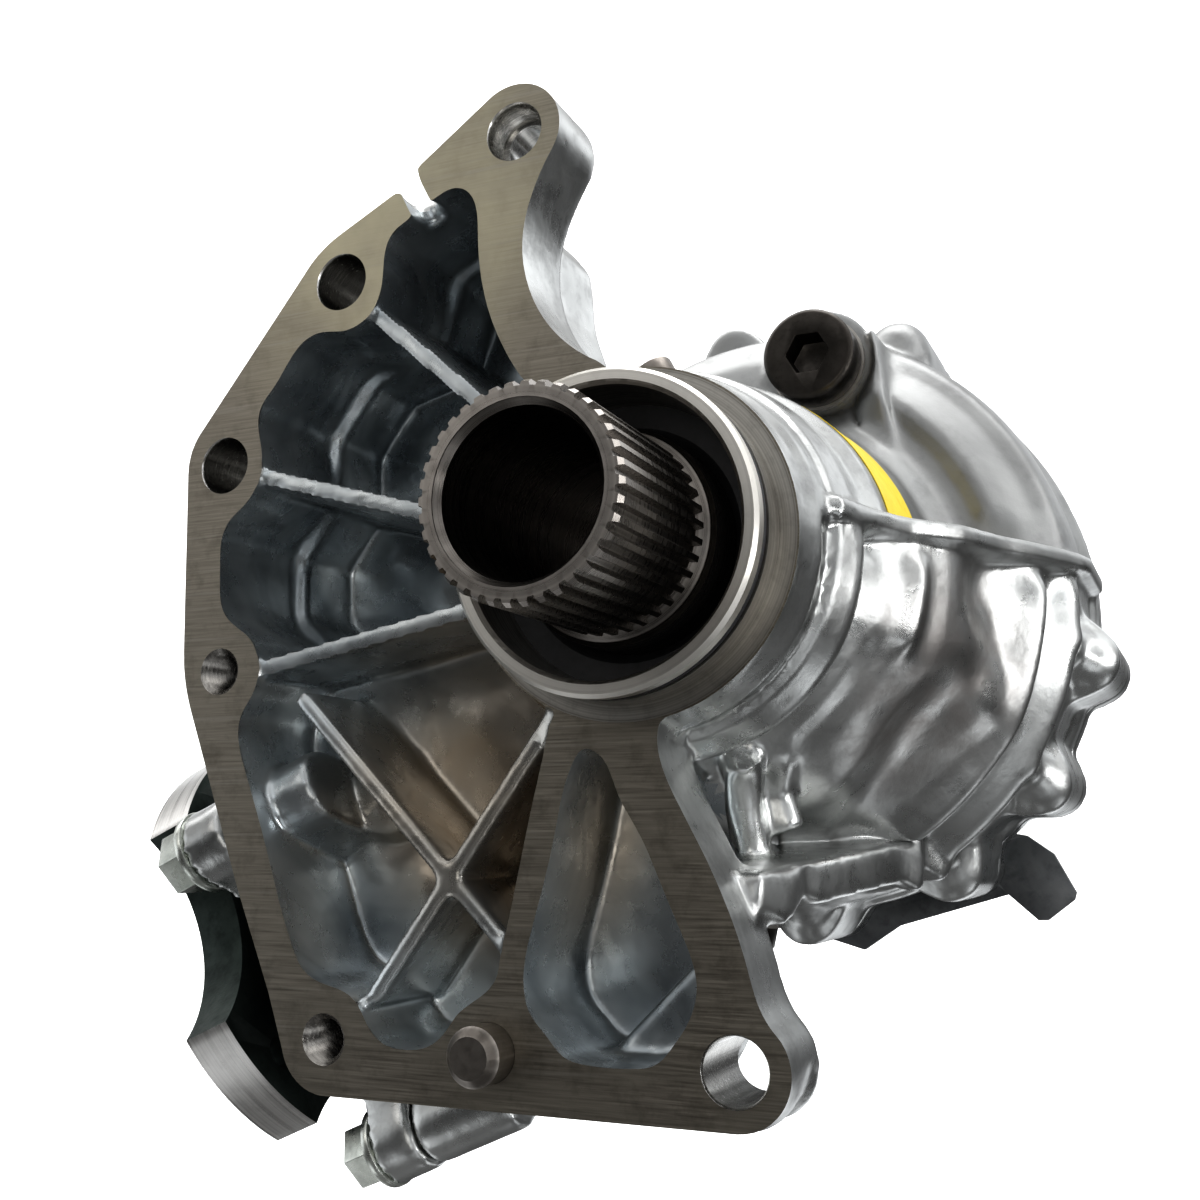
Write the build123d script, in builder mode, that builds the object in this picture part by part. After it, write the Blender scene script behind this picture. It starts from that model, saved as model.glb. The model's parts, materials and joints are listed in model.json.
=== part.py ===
from build123d import *
import math
import os

os.makedirs("parts", exist_ok=True)

# ---------------------------------------------------------------- driving dimensions (mm)
# Frame: Y is the input axis (front of the flange at y = 0, housing at +Y), Z is up.
pilot_r, pilot_len, mouth_r = 33.0, 13.2, 29.5      # pilot spigot
bar_rise = math.radians(5.0)                        # side bar of the bell, rising to the back
flange_t = 20.0                                     # mounting flange thickness
floor_low, floor_up = 28.0, 47.0                    # pocket floor depths
cover_y = 140.0                                     # joint face of bell and end cover
bell_r, bell_in = 78.0, 71.0                        # bell outside and inside
lobe_pcd_r, lobe_r, lobe_wide = 79.5, 8.6, 12.5      # cover bolt lobes
drain_a, drain_y, breather_a = -102.5, 127.0, 118.0 # drain plug and breather around the bell
lobe_angles = [-11, -35, -58, -87, -118, -150, 172, 136, 100, 65]
holes = {                                           # flange holes: x, z, radius
    "A": (-26.5, 95.5, 5.5), "B": (-71.6, 68.1, 6.5), "C": (-103.3, 27.7, 6.5),
    "D": (-102.1, -21.5, 4.25), "E": (-69.8, -101.7, 4.25), "F": (22.4, -102.2, 6.5)}
dowel_x, dowel_z, dowel_r, dowel_out = -29.8, -102.0, 6.0, 8.0

spline_n, spline_tip, spline_root = 38, 20.3, 18.9  # input spline
bore_r, tip_y = 15.8, -46.4                         # hollow shaft

pin_y, pin_off, pin_tilt = 80.0, 28.0, 24.0         # pinion axis: depth, offset, fall to the left
n_pin, n_ring, module, press = 13, 32, 3.25, 22.5   # gear pair
gear_s0, gear_s1 = 45.0, 60.0                       # pinion face along its axis
ring_out, ring_in, ring_back = 67.0, 43.0, 118.0
# Ring gear tooth space beside the pinion line, at 51 mm out: (depth y, half width on each side), found by
# rolling the pinion tooth past the ring gear with 0.14 mm of room; each side opens outwards by its slope.
side_down = [(98.2, 4.95), (100.0, 3.87), (101.6, 3.07), (103.6, 2.37), (104.7, 1.80)]
side_up = [(98.2, 4.50), (100.0, 3.38), (101.6, 3.08), (103.6, 2.62), (104.7, 2.00)]
slope_down, slope_up, ring_tip_y = 0.05, -0.09, 98.6
comp_s, comp_t, comp_R, comp_r = 148.0, 13.0, 59.0, 40.6   # companion flange
comp_turn, comp_half = -8.0, 18.0                   # rest angle and half width of a lobe
comp_hole_R, comp_hole_r = 48.5, 4.25
ph_s, ph_t, ph_bolt_R = 118.0, 12.0, 68.0           # pinion housing flange
ph_angles = [-15, 62, 134, 200, 272]

# ---------------------------------------------------------------- frames
ct, st = math.cos(math.radians(pin_tilt)), math.sin(math.radians(pin_tilt))
d = Vector(-ct, 0, -st)                             # along the pinion, outwards
e = Vector(st, 0, -ct)                              # offset direction, down
Op = Vector(0, pin_y, 0) + e * pin_off
PIN = Plane(origin=Op, x_dir=d, z_dir=e)            # x = along the pinion, y = +Y
PAX = Axis(Op, d)
IN = Plane.XY                                       # x = radius, y = along the input axis


def front(y):
    """Sketch plane at depth y whose x, y are the object's X, Z; extrude(-t) goes to +Y."""
    return Plane(origin=(0, y, 0), x_dir=(1, 0, 0), z_dir=(0, -1, 0))


def across(s):
    """Plane across the pinion axis: x towards -Y, y along e; extrude(-t) goes outwards."""
    return Plane(origin=Op + d * s, x_dir=(0, -1, 0), z_dir=-d)


def polar(r, a):
    return (r * math.cos(math.radians(a)), r * math.sin(math.radians(a)))


def ring_in_axis(pts):
    """Solid of revolution about the input axis from (radius, y) points."""
    with BuildPart() as p:
        with BuildSketch(IN):
            with BuildLine():
                Polyline(*pts, close=True)
            make_face()
        revolve(axis=Axis.Y)
    return p


def ring_pin_axis(pts):
    """Solid of revolution about the pinion axis from (along, radius) points."""
    with BuildPart() as p:
        with BuildSketch(PIN):
            with BuildLine():
                Polyline(*pts, close=True)
            make_face()
        revolve(axis=PAX)
    return p


def radial(y, a, r):
    return Plane(origin=(0, y, 0), x_dir=(0, 1, 0), z_dir=(math.cos(math.radians(a)), 0, math.sin(math.radians(a)))).offset(r)


def save(p, name):
    p.part.label = name
    export_step(p.part, "parts/" + name + ".step")


# ---------------------------------------------------------------- main case
with BuildPart() as slab:                           # the flange plate
    with BuildSketch(front(0)):
        with BuildLine():
            Polyline((-57.5, 87.0), (-50.5, 88.2), (-51.6, 92.1), (-32.3, 105.2))
            ThreePointArc((-32.3, 105.2), (-18.8, 103.7), (-16.4, 90.4))
            Spline((-16.4, 90.4), (-21.6, 80.5), (-24.0, 70.5), (-22.9, 60.0), (-18.4, 50.3), (-13.0, 44.2), (-5.8, 39.3))
            Polyline((-5.8, 39.3), (5, 30), (18, 0), (9.1, -34.0))
            Spline((9.1, -34.0), (7.2, -41.0), (8.4, -46.2), (11.7, -53.2), (16.5, -62.0), (22.0, -74.0), (24.9, -82.5), (27.1, -89.9), (31.2, -95.9))
            ThreePointArc((31.2, -95.9), (32.9, -105.5), (22.9, -113.2))
            Line((22.9, -113.2), (-68.0, -113.2))
            ThreePointArc((-68.0, -113.2), (-76.2, -110.9), (-80.6, -104.0))
            Polyline((-80.6, -104.0), (-84.6, -92.8), (-94.5, -70.0), (-110.4, -29.0))
            ThreePointArc((-110.4, -29.0), (-112.2, -22.5), (-112.9, -16.0))
            Line((-112.9, -16.0), (-114.2, 27.0))
            ThreePointArc((-114.2, 27.0), (-113.3, 32.5), (-110.4, 37.2))
            Line((-110.4, 37.2), (-82.4, 71.4))
            ThreePointArc((-82.4, 71.4), (-78.0, 76.2), (-72.0, 80.0))
            Line((-72.0, 80.0), (-57.5, 87.0))
        make_face()
    extrude(amount=-flange_t)
    with BuildSketch(front(flange_t)):              # back of the upper pocket
        with BuildLine():
            Polyline((-109.0, -24.0), (-110.0, 26.0), (-106.5, 34.5), (-79.5, 67.5), (-57.0, 81.5), (-46.0, 88.0),
                     (-36.0, 88.5), (-31.0, 82.0), (-29.5, 66.0), (-24.0, 50.0), (-12.0, 40.0), (0, 20), (0, -28), (-60, -28), close=True)
        make_face()
    extrude(amount=-(floor_up + 5 - flange_t))
    with BuildSketch(front(flange_t)):              # back of the lower pockets
        with BuildLine():
            Polyline((-108.5, -22.0), (-100.0, -44.0), (-88.0, -73.0), (-77.0, -100.0), (-67.0, -109.5), (-20.0, -109.5),
                     (10.0, -109.5), (15.5, -99.0), (19.5, -90.0), (19.5, -84.0), (9.0, -60.0), (4.0, -44.0), (0, -20), close=True)
        make_face()
    extrude(amount=-(floor_low + 6 - flange_t))
    with BuildSketch(front(1)):                     # bolt bosses through the rim
        for k in "BC":
            with Locations(holes[k][:2]):
                Circle(10.4)
    extrude(amount=-(floor_up + 4))
    with BuildSketch(front(1)):
        for k in "DE":
            with Locations(holes[k][:2]):
                Circle(9.6)
    extrude(amount=-(floor_low + 5))

with BuildPart() as pockets:
    with BuildSketch(front(-1)):                    # large pocket, wavy rim on the left
        with BuildLine():
            Spline((-55.6, 79.0), (-58.6, 76.4), (-59.9, 71.8), (-60.2, 66.3), (-61.9, 60.9), (-65.4, 57.4), (-70.3, 56.0), (-77.0, 56.6),
                   (-81.8, 55.0), (-85.6, 51.0), (-90.0, 44.8), (-93.0, 41.2), (-93.9, 37.0), (-92.7, 31.0), (-92.4, 26.4), (-94.0, 21.0),
                   (-97.6, 16.9), (-101.2, 14.0), (-103.2, 9.6), (-103.2, 3.0), (-102.9, -3.5), (-101.4, -8.0), (-97.8, -11.3), (-93.8, -14.2),
                   (-91.4, -18.4), (-91.0, -23.3), (-92.7, -27.8), (-95.2, -31.6), (-95.8, -37.0), (-93.9, -43.4), (-88.9, -55.9),
                   (-84.0, -69.5), (-78.7, -83.0), (-75.4, -87.8), (-70.4, -90.2), (-65.0, -91.6), (-61.2, -94.4), (-58.7, -98.4),
                   (-55.0, -101.6), (-49.4, -102.6), (-43.6, -101.5), (-40.0, -98.7), (-37.2, -95.0), (-33.4, -92.2), (-29.6, -89.4), (-27.6, -84.7))
            Polyline((-27.6, -84.7), (-24.8, -72.6), (-20.9, -54.8), (-16.5, -36.6), (-8.0, -20.0), (-8.0, 20.0), (-24.5, 39.1))
            Spline((-24.5, 39.1), (-29.1, 47.0), (-32.4, 55.1), (-34.3, 62.8), (-35.3, 73.0), (-36.2, 80.6), (-38.4, 84.0), (-42.0, 85.2), (-45.3, 84.4), (-47.9, 83.1))
            Line((-47.9, 83.1), (-55.6, 79.0))
        make_face()
    extrude(amount=-(floor_low + 1))
    with BuildSketch(front(-1)):                    # three-sided pocket
        with BuildLine():
            Spline((-8.0, -41.6), (-5.2, -43.0), (-1.3, -50.8), (3.0, -58.0), (5.8, -63.5), (10.3, -73.7), (13.3, -80.2), (15.0, -87.1), (13.8, -92.7),
                   (10.1, -98.4), (6.6, -101.9), (1.0, -103.0), (-8.3, -102.9), (-13.3, -101.5), (-16.6, -98.1), (-20.4, -94.0), (-21.9, -89.0),
                   (-19.5, -75.0), (-15.0, -57.6), (-11.4, -44.6), periodic=True)
        make_face()
    extrude(amount=-(floor_low + 1))
    with BuildSketch(front(floor_low - 2)):         # deep upper part
        with BuildLine():
            Polyline((-56.0, 76.0), (-60.0, 58.0), (-80.0, 53.0), (-90.5, 39.0), (-90.5, 22.0), (-100.0, 10.0), (-99.5, -5.0), (-89.0, -14.0),
                     (-84.0, -15.5), (-44.0, -8.0), (-38.0, 0.0), (-30.0, 30.0), (-33.0, 50.0), (-38.5, 80.0), (-46.0, 80.0), close=True)
        make_face()
    extrude(amount=-(floor_up - floor_low + 2))

with BuildPart() as lower_bell:                     # full lower half of the bell, up to the ledge
    add(ring_in_axis([(20, 28), (43, 28), (47, 36), (57, 50), (62, 64), (70, 80), (76, 92), (bell_r, 100), (bell_r, cover_y), (20, cover_y)]).part)
    with BuildSketch(front(0)):
        with Locations((0, -60)):
            Rectangle(200, 136)                     # keep z < 8
    extrude(amount=-200, mode=Mode.INTERSECT)

with BuildPart() as main_case:
    add(slab.part)
    add(pockets.part, mode=Mode.SUBTRACT)
    # pilot, neck and narrow upper bell
    add(ring_in_axis([(20, -pilot_len), (pilot_r - 0.8, -pilot_len), (pilot_r, -pilot_len + 0.8), (pilot_r, 0), (37.0, 0), (37.4, 7), (39.2, 8.5),
                      (39.2, 14), (41.0, 15.5), (42.5, 24), (42.5, 33), (45.5, 38), (46.5, 60), (48.0, 80), (54.0, 88), (68.0, 92), (76.5, 99),
                      (bell_r, 104), (bell_r, 130), (80.0, 132), (80.0, cover_y), (20, cover_y)]).part)
    add(lower_bell.part)
    # barrel for the pinion housing
    add(ring_pin_axis([(36, 0), (36, 46), (50, 52), (110, 52), (112, 55), (ph_s, 55), (ph_s, 0)]).part)
    for a in ph_angles:                             # threaded bosses of the pinion housing bolts
        with BuildSketch(across(ph_s)):
            with Locations(polar(ph_bolt_R, a)):
                Circle(9.0)
            with BuildLine():
                p1, p2 = polar(44, a - 15), polar(44, a + 15)
                q1, q2 = polar(ph_bolt_R, a - 7.5), polar(ph_bolt_R, a + 7.5)
                Polyline(p1, q1, q2, p2, close=True)
            make_face()
        extrude(amount=26)
    for a in lobe_angles:                           # cover bolt lobes
        with BuildSketch(front(110)):
            with Locations(polar(lobe_pcd_r, a)):
                Circle(lobe_r)
            with BuildLine():
                Polyline(polar(72, a - lobe_wide), polar(83.5, a - 5.6), polar(83.5, a + 5.6), polar(72, a + lobe_wide), close=True)
            make_face()
        extrude(amount=-(cover_y - 110))
    for a, w in ((65, 8.6), (-11, 7.6), (-35, 7.6), (-58, 7.6), (-87, 7.6)):  # domed front ends of the visible lobes
        with Locations((polar(lobe_pcd_r, a)[0], 112, polar(lobe_pcd_r, a)[1])):
            Sphere(w)
    # ribs in the large pocket
    with BuildSketch(front(1.5)):
        for (x1, z1, x2, z2) in ((-79.0, -29.7, -26.9, -81.7), (-16.9, -34.5, -57.9, -91.2)):
            with Locations(((x1 + x2) / 2, (z1 + z2) / 2)):
                Rectangle(math.hypot(x2 - x1, z2 - z1) + 6, 4.2, rotation=math.degrees(math.atan2(z2 - z1, x2 - x1)))
    extrude(amount=-(floor_low + 1))
    with BuildSketch(front(0.8)):
        for (x1, z1, x2, z2) in ((-92.0, -21.5, -32.0, -10.4), (-95.5, 25.0, -34.0, 7.0), (-63.0, 59.5, -28.0, 28.5)):
            with Locations(((x1 + x2) / 2, (z1 + z2) / 2)):
                Rectangle(math.hypot(x2 - x1, z2 - z1), 4.0, rotation=math.degrees(math.atan2(z2 - z1, x2 - x1)))
    extrude(amount=-(floor_up + 1))
    with Locations((-71.5, floor_low + 4, -49.5)):  # domed boss on the pocket floor
        Sphere(12.5)
    with BuildSketch(front(14)):                    # raised step in the three-sided pocket
        with BuildLine():
            Polyline((-12.0, -105.0), (17.0, -76.0), (20.0, -100.0), (8.0, -107.0), close=True)
        make_face()
    extrude(amount=-16)
    # ledge, side bar and pads outside the bell
    with BuildSketch(Plane.XY.offset(4.5)):
        with BuildLine():
            Polyline((30, 6), (42.5, 14), (44.5, 24), (50.5, 38), (60.0, 50), (66.0, 64), (74.0, 79), (80.0, 92), (82.0, 100), (82.0, 132), (30, 132), close=True)
        make_face()
    extrude(amount=4.5)
    with BuildSketch(Plane(origin=(0, 12, -75.5), x_dir=(1, 0, 0), z_dir=(0, -math.sin(bar_rise), math.cos(bar_rise)))):
        with BuildLine():
            Polyline((6, 0), (24.5, 0), (49.0, 106), (53.0, 122), (20.0, 122), close=True)
        make_face()
    extrude(amount=9.5)
    with BuildSketch(front(86)):                    # plug boss and the pad at its right
        with Locations((32.0, 50.0)):
            Rectangle(8.0, 42.0, rotation=9)
    extrude(amount=-16)
    with BuildSketch(front(89.5)):
        with Locations((17.0, 64.0)):
            Circle(15.0)
    extrude(amount=-12.5)
    with BuildSketch(radial(drain_y, drain_a, 72)):
        Circle(11.0)
    extrude(amount=11)                              # drain boss
    with BuildSketch(radial(118, breather_a, 72)):
        Circle(7.5)
    extrude(amount=10)                              # breather boss
    # inside of the case
    add(ring_in_axis([(0, -30), (mouth_r, -30), (mouth_r, 13), (27.0, 13), (27.0, 18), (33.0, 18), (33.0, 22), (37.5, 22), (37.5, 43), (40.5, 45),
                      (40.5, 84), (48, 93.5), (60, 95), (69, 99), (bell_in, 103), (bell_in, 150), (0, 150)]).part, mode=Mode.SUBTRACT)

with BuildPart() as lower_cavity:
    add(ring_in_axis([(0, 46), (40.5, 46), (50, 55), (56, 68), (64, 84), (70, 97), (bell_in, 103), (0, 103)]).part)
    with BuildSketch(front(0)):
        with Locations((0, -60)):
            Rectangle(200, 124)                     # z < 2
    extrude(amount=-200, mode=Mode.INTERSECT)

with BuildPart() as case_done:
    add(main_case.part)
    add(lower_cavity.part, mode=Mode.SUBTRACT)
    add(ring_pin_axis([(28, 0), (28, 34), (72, 34), (72, 44.0), (ph_s - 1, 44.0), (ph_s + 1, 46.0), (140, 46.0), (140, 0)]).part, mode=Mode.SUBTRACT)
    add(ring_in_axis([(30.9, -9.8), (40, -9.8), (40, -6.4), (30.9, -6.4)]).part, mode=Mode.SUBTRACT)   # O-ring groove
    for k, (x, z, r) in holes.items():              # flange holes
        depth = 24 if k in "DE" else 70
        with BuildSketch(front(-1)):
            with Locations((x, z)):
                Circle(r)
        extrude(amount=-(depth + 1), mode=Mode.SUBTRACT)
        rim = 5.5 if k in "DE" else 7.0
        with BuildSketch(front(0)):                 # entry chamfer
            with Locations((x, z)):
                Circle(rim)
        with BuildSketch(front(rim - r if k in "DE" else 0.5)):
            with Locations((x, z)):
                Circle(r if k in "DE" else 6.5)
        loft(mode=Mode.SUBTRACT)
    with BuildSketch(front(20)):                    # hole F opens out behind the flange
        with Locations(holes["F"][:2]):
            Circle(7.4)
    extrude(amount=-50, mode=Mode.SUBTRACT)
    with BuildSketch(front(-1)):                    # stepped seat at hole A
        with Locations(holes["A"][:2]):
            Circle(6.5)
    extrude(amount=-9, mode=Mode.SUBTRACT)
    with BuildSketch(front(-1)):                    # dowel hole
        with Locations((dowel_x, dowel_z)):
            Circle(dowel_r - 0.18)
    extrude(amount=-17, mode=Mode.SUBTRACT)
    with BuildSketch(front(0)):                     # its entry chamfer
        with Locations((dowel_x, dowel_z)):
            Circle(dowel_r + 0.6)
    with BuildSketch(front(0.78)):
        with Locations((dowel_x, dowel_z)):
            Circle(dowel_r - 0.18)
    loft(mode=Mode.SUBTRACT)
    with BuildSketch(front(-1)):                    # oil slot through the rim
        with Locations((-51.6, 84.6)):
            Rectangle(5.6, 16, rotation=27)
    extrude(amount=-8.5, mode=Mode.SUBTRACT)
    for a in lobe_angles:                           # M8 threads for the cover
        with BuildSketch(front(cover_y - 20)):
            with Locations(polar(lobe_pcd_r, a)):
                Circle(4.0)
        extrude(amount=-40, mode=Mode.SUBTRACT)
    for a in ph_angles:                             # M10 threads for the pinion housing
        with BuildSketch(across(ph_s - 20)):
            with Locations(polar(ph_bolt_R, a)):
                Circle(5.0)
        extrude(amount=-40, mode=Mode.SUBTRACT)
    with BuildSketch(front(80)):                    # filler thread
        with Locations((17.0, 64.0)):
            Circle(9.0)
    extrude(amount=-17.5, mode=Mode.SUBTRACT)
    with BuildSketch(front(70)):                    # spot face of the filler boss
        with Locations((17.0, 64.0)):
            Circle(15.2)
    extrude(amount=-19.5, mode=Mode.SUBTRACT)
    with BuildSketch(radial(drain_y, drain_a, 66)):
        Circle(7.0)
    extrude(amount=40, mode=Mode.SUBTRACT)          # drain thread
    with BuildSketch(radial(118, breather_a, 66)):
        Circle(3.0)
    extrude(amount=40, mode=Mode.SUBTRACT)          # breather hole
save(case_done, "main_case")
print("main_case solids", len(case_done.part.solids()), "volume", round(case_done.part.volume))

# ---------------------------------------------------------------- end cover
with BuildPart() as end_cover:
    add(ring_in_axis([(30, 164), (46, 164), (50, 158), (64, 155), (69.5, 148), (80, 148), (80, 140), (70.95, 140), (70.95, 139), (69, 139), (69, 136.4),
                      (70.95, 136.4), (70.95, 135), (66, 135), (66, 143), (60, 147.5), (46, 147.5), (43, 144), (43, 130), (37.5, 130), (37.5, 150),
                      (33, 150), (33, 154), (30, 154)]).part)
    with BuildSketch(front(cover_y)):
        for a in lobe_angles:
            with Locations(polar(lobe_pcd_r, a)):
                Circle(lobe_r)
        for a in lobe_angles:
            with BuildLine():
                Polyline(polar(72, a - lobe_wide), polar(83.5, a - 5.6), polar(83.5, a + 5.6), polar(72, a + lobe_wide), close=True)
            make_face()
    extrude(amount=-8)
    with BuildSketch(front(148)):                   # stiffening ribs
        with PolarLocations(56, 8, start_angle=22.5):
            Rectangle(26, 4.5)
    extrude(amount=-9)
    with BuildSketch(front(130)):
        for a in lobe_angles:
            with Locations(polar(lobe_pcd_r, a)):
                Circle(4.3)
    extrude(amount=-40, mode=Mode.SUBTRACT)
save(end_cover, "end_cover")

# ---------------------------------------------------------------- pinion housing
with BuildPart() as pinion_housing:
    add(ring_pin_axis([(72.5, 36), (72.5, 43.2), (73.3, 43.97), (108, 43.97), (108, 41.9), (111.2, 41.9), (111.2, 43.97), (ph_s, 43.97), (ph_s, 56),
                       (ph_s + ph_t, 56), (ph_s + ph_t, 41), (141, 38.5), (141, 31), (106, 31), (106, 27.5), (96, 27.5), (96, 36)]).part)
    with BuildSketch(across(ph_s)):
        for a in ph_angles:
            with Locations(polar(ph_bolt_R, a)):
                Circle(9.6)
        for a in ph_angles:
            with BuildLine():
                Polyline(polar(50, a - 17), polar(ph_bolt_R + 1, a - 7.6), polar(ph_bolt_R + 1, a + 7.6), polar(50, a + 17), close=True)
            make_face()
        Circle(45, mode=Mode.SUBTRACT)
        for a in ph_angles:
            with Locations(polar(ph_bolt_R, a)):
                Circle(5.5, mode=Mode.SUBTRACT)
    extrude(amount=-ph_t)
save(pinion_housing, "pinion_housing")


# ---------------------------------------------------------------- fasteners
def hex_bolts(name, planes, shank_r, shank_len, af, head_h, flange_r, flange_h):
    """Flange-head bolts: each plane sits at the seat, its normal towards the head."""
    with BuildPart() as p:
        for pl in planes:
            with BuildSketch(pl.offset(-shank_len)):
                Circle(shank_r)
            extrude(amount=shank_len + 0.5)
            with BuildSketch(pl):
                Circle(flange_r)
            extrude(amount=flange_h)
            with BuildSketch(pl.offset(flange_h)):
                RegularPolygon(af / 2, 6, major_radius=False)
            extrude(amount=head_h - flange_h)
    save(p, name)


def back(x, z, y):
    return Plane(origin=(x, y, z), x_dir=(1, 0, 0), z_dir=(0, 1, 0))


stay_at = [-58, -87]                                # cover bolts that also hold the stay plate
hex_bolts("cover_bolts", [back(*polar(lobe_pcd_r, a), 148) for a in lobe_angles if a not in stay_at], 3.98, 26, 12, 8.0, 8.2, 1.6)
hex_bolts("stay_bolts", [back(*polar(lobe_pcd_r, a), 151) for a in stay_at], 3.98, 29, 12, 8.0, 8.2, 1.6)
hex_bolts("housing_bolts", [Plane(origin=across(ph_s + ph_t).origin + Vector(0, -1, 0) * polar(ph_bolt_R, a)[0] + e * polar(ph_bolt_R, a)[1], x_dir=(0, 1, 0), z_dir=d)
                            for a in ph_angles], 4.98, 30, 14, 9.5, 10.0, 2.0)
ring_bolt_angles = [k * 45 + 22.5 for k in range(8)]
hex_bolts("ring_gear_bolts", [back(*polar(54, a), 126) for a in ring_bolt_angles], 3.98, 16, 12, 6.5, 7.8, 1.4)

# ---------------------------------------------------------------- stay plate
with BuildPart() as stay_plate:
    with BuildSketch(front(148)):
        with BuildLine():
            Polyline((-5.5, -87), (10.5, -91.5), (20.6, -84.6), (51.5, -75.2), (59.2, -82.0), (61.8, -81.9), (68.8, -76.4), (69.4, -74.4), (64, -64), (57, -59), (45, -57),
                     (30, -66), (12, -70), (-4, -71), (-7, -76), close=True)
        make_face()
        for a in stay_at:
            with Locations(polar(lobe_pcd_r, a)):
                Circle(4.4, mode=Mode.SUBTRACT)
    extrude(amount=-3)
save(stay_plate, "stay_plate")

# ---------------------------------------------------------------- plugs, washers, breather, dowel, label
with BuildPart() as filler_plug:
    add(Pos(17.0, 0, 64.0) * ring_in_axis([(0, 78.6), (10.9, 78.6), (12.0, 79.6), (12.0, 88.0), (8.98, 88.0), (8.98, 95.2), (8.2, 96.0), (0, 96.0)]).part)
    with BuildSketch(front(77)):
        with Locations((17.0, 64.0)):
            RegularPolygon(5.0, 6, major_radius=False)
    extrude(amount=-9, mode=Mode.SUBTRACT)
save(filler_plug, "filler_plug")
with BuildPart() as filler_washer:
    add(Pos(17.0, 0, 64.0) * ring_in_axis([(9.1, 88.0), (12.6, 88.0), (12.6, 89.5), (9.1, 89.5)]).part)
save(filler_washer, "filler_washer")

with BuildPart() as drain_plug:
    with BuildSketch(radial(drain_y, drain_a, 72.5)):
        Circle(6.98)
    extrude(amount=11.5)
    with BuildSketch(radial(drain_y, drain_a, 84.5)):
        Circle(9.5)
    extrude(amount=6)
    with BuildSketch(radial(drain_y, drain_a, 84)):
        Circle(6.98)
    extrude(amount=0.6)
    with BuildSketch(radial(drain_y, drain_a, 84.5)):
        RegularPolygon(4.0, 6, major_radius=False)
    extrude(amount=7, mode=Mode.SUBTRACT)
save(drain_plug, "drain_plug")
with BuildPart() as drain_washer:
    with BuildSketch(radial(drain_y, drain_a, 83)):
        Circle(10.2)
        Circle(7.1, mode=Mode.SUBTRACT)
    extrude(amount=1.5)
save(drain_washer, "drain_washer")
with BuildPart() as breather:
    with BuildSketch(radial(118, breather_a, 74)):
        Circle(2.98)
    extrude(amount=8.5)
    with BuildSketch(radial(118, breather_a, 82)):
        Circle(4.2)
    extrude(amount=3)
    with BuildSketch(radial(118, breather_a, 85)):
        Circle(6.5)
    extrude(amount=6)
save(breather, "breather")
with BuildPart() as dowel_pin:
    with BuildSketch(front(-dowel_out)):
        with Locations((dowel_x, dowel_z)):
            Circle(dowel_r - 0.01)
    extrude(amount=-dowel_out)
    with BuildSketch(front(0)):
        with Locations((dowel_x, dowel_z)):
            Circle(dowel_r - 0.20)
    extrude(amount=-15)
    chamfer(dowel_pin.faces().sort_by(Axis.Y)[0].edges(), 1.8)
save(dowel_pin, "dowel_pin")
with BuildPart() as label:                          # blank label wrapped on the neck
    la = math.radians(57)
    with BuildSketch(Plane(origin=(0, 0, 0), x_dir=(math.cos(la), 0, math.sin(la)), z_dir=(-math.sin(la), 0, math.cos(la)))):
        with BuildLine():
            Polyline((45.79, 44), (45.99, 44), (46.72, 60), (47.32, 68), (47.12, 68), (46.52, 60), close=True)
        make_face()
    revolve(axis=Axis.Y, revolution_arc=43.5)
save(label, "label")

# ---------------------------------------------------------------- seals and O-rings
for name, pts in (("input_seal", [(22.38, 5.5), (24.5, 2.5), (29.48, 2.5), (29.48, 12.0), (25.0, 12.0), (25.0, 10.6), (28.2, 10.6), (28.2, 5.0), (25.2, 5.0), (24.0, 8.0), (22.38, 6.5)]),
                  ("cover_seal", [(21.08, 158.5), (23.0, 161.8), (29.98, 161.8), (29.98, 154.2), (25.0, 154.2), (25.0, 155.4), (28.4, 155.4), (28.4, 160.0), (24.0, 160.0), (22.8, 156.8), (21.08, 157.6)])):
    seal = ring_in_axis(pts)
    save(seal, name)
output_seal = ring_pin_axis([(134.0, 19.08), (138.0, 21.5), (138.0, 30.98), (128.0, 30.98), (128.0, 25.0), (129.4, 25.0), (129.4, 29.4), (136.0, 29.4), (136.0, 22.5), (132.0, 21.0), (133.0, 19.08)])
save(output_seal, "output_seal")
for name, kind, along, rc, rt in (("pilot_oring", "in", -8.1, 31.94, 1.0), ("cover_oring", "in", 137.7, 69.95, 0.93), ("housing_oring", "pin", 109.6, 42.95, 1.0)):
    with BuildPart() as oring:
        with BuildSketch(IN if kind == "in" else PIN):
            with Locations((rc, along) if kind == "in" else (along, rc)):
                Circle(rt)
        revolve(axis=Axis.Y if kind == "in" else PAX)
    save(oring, name)


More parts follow.
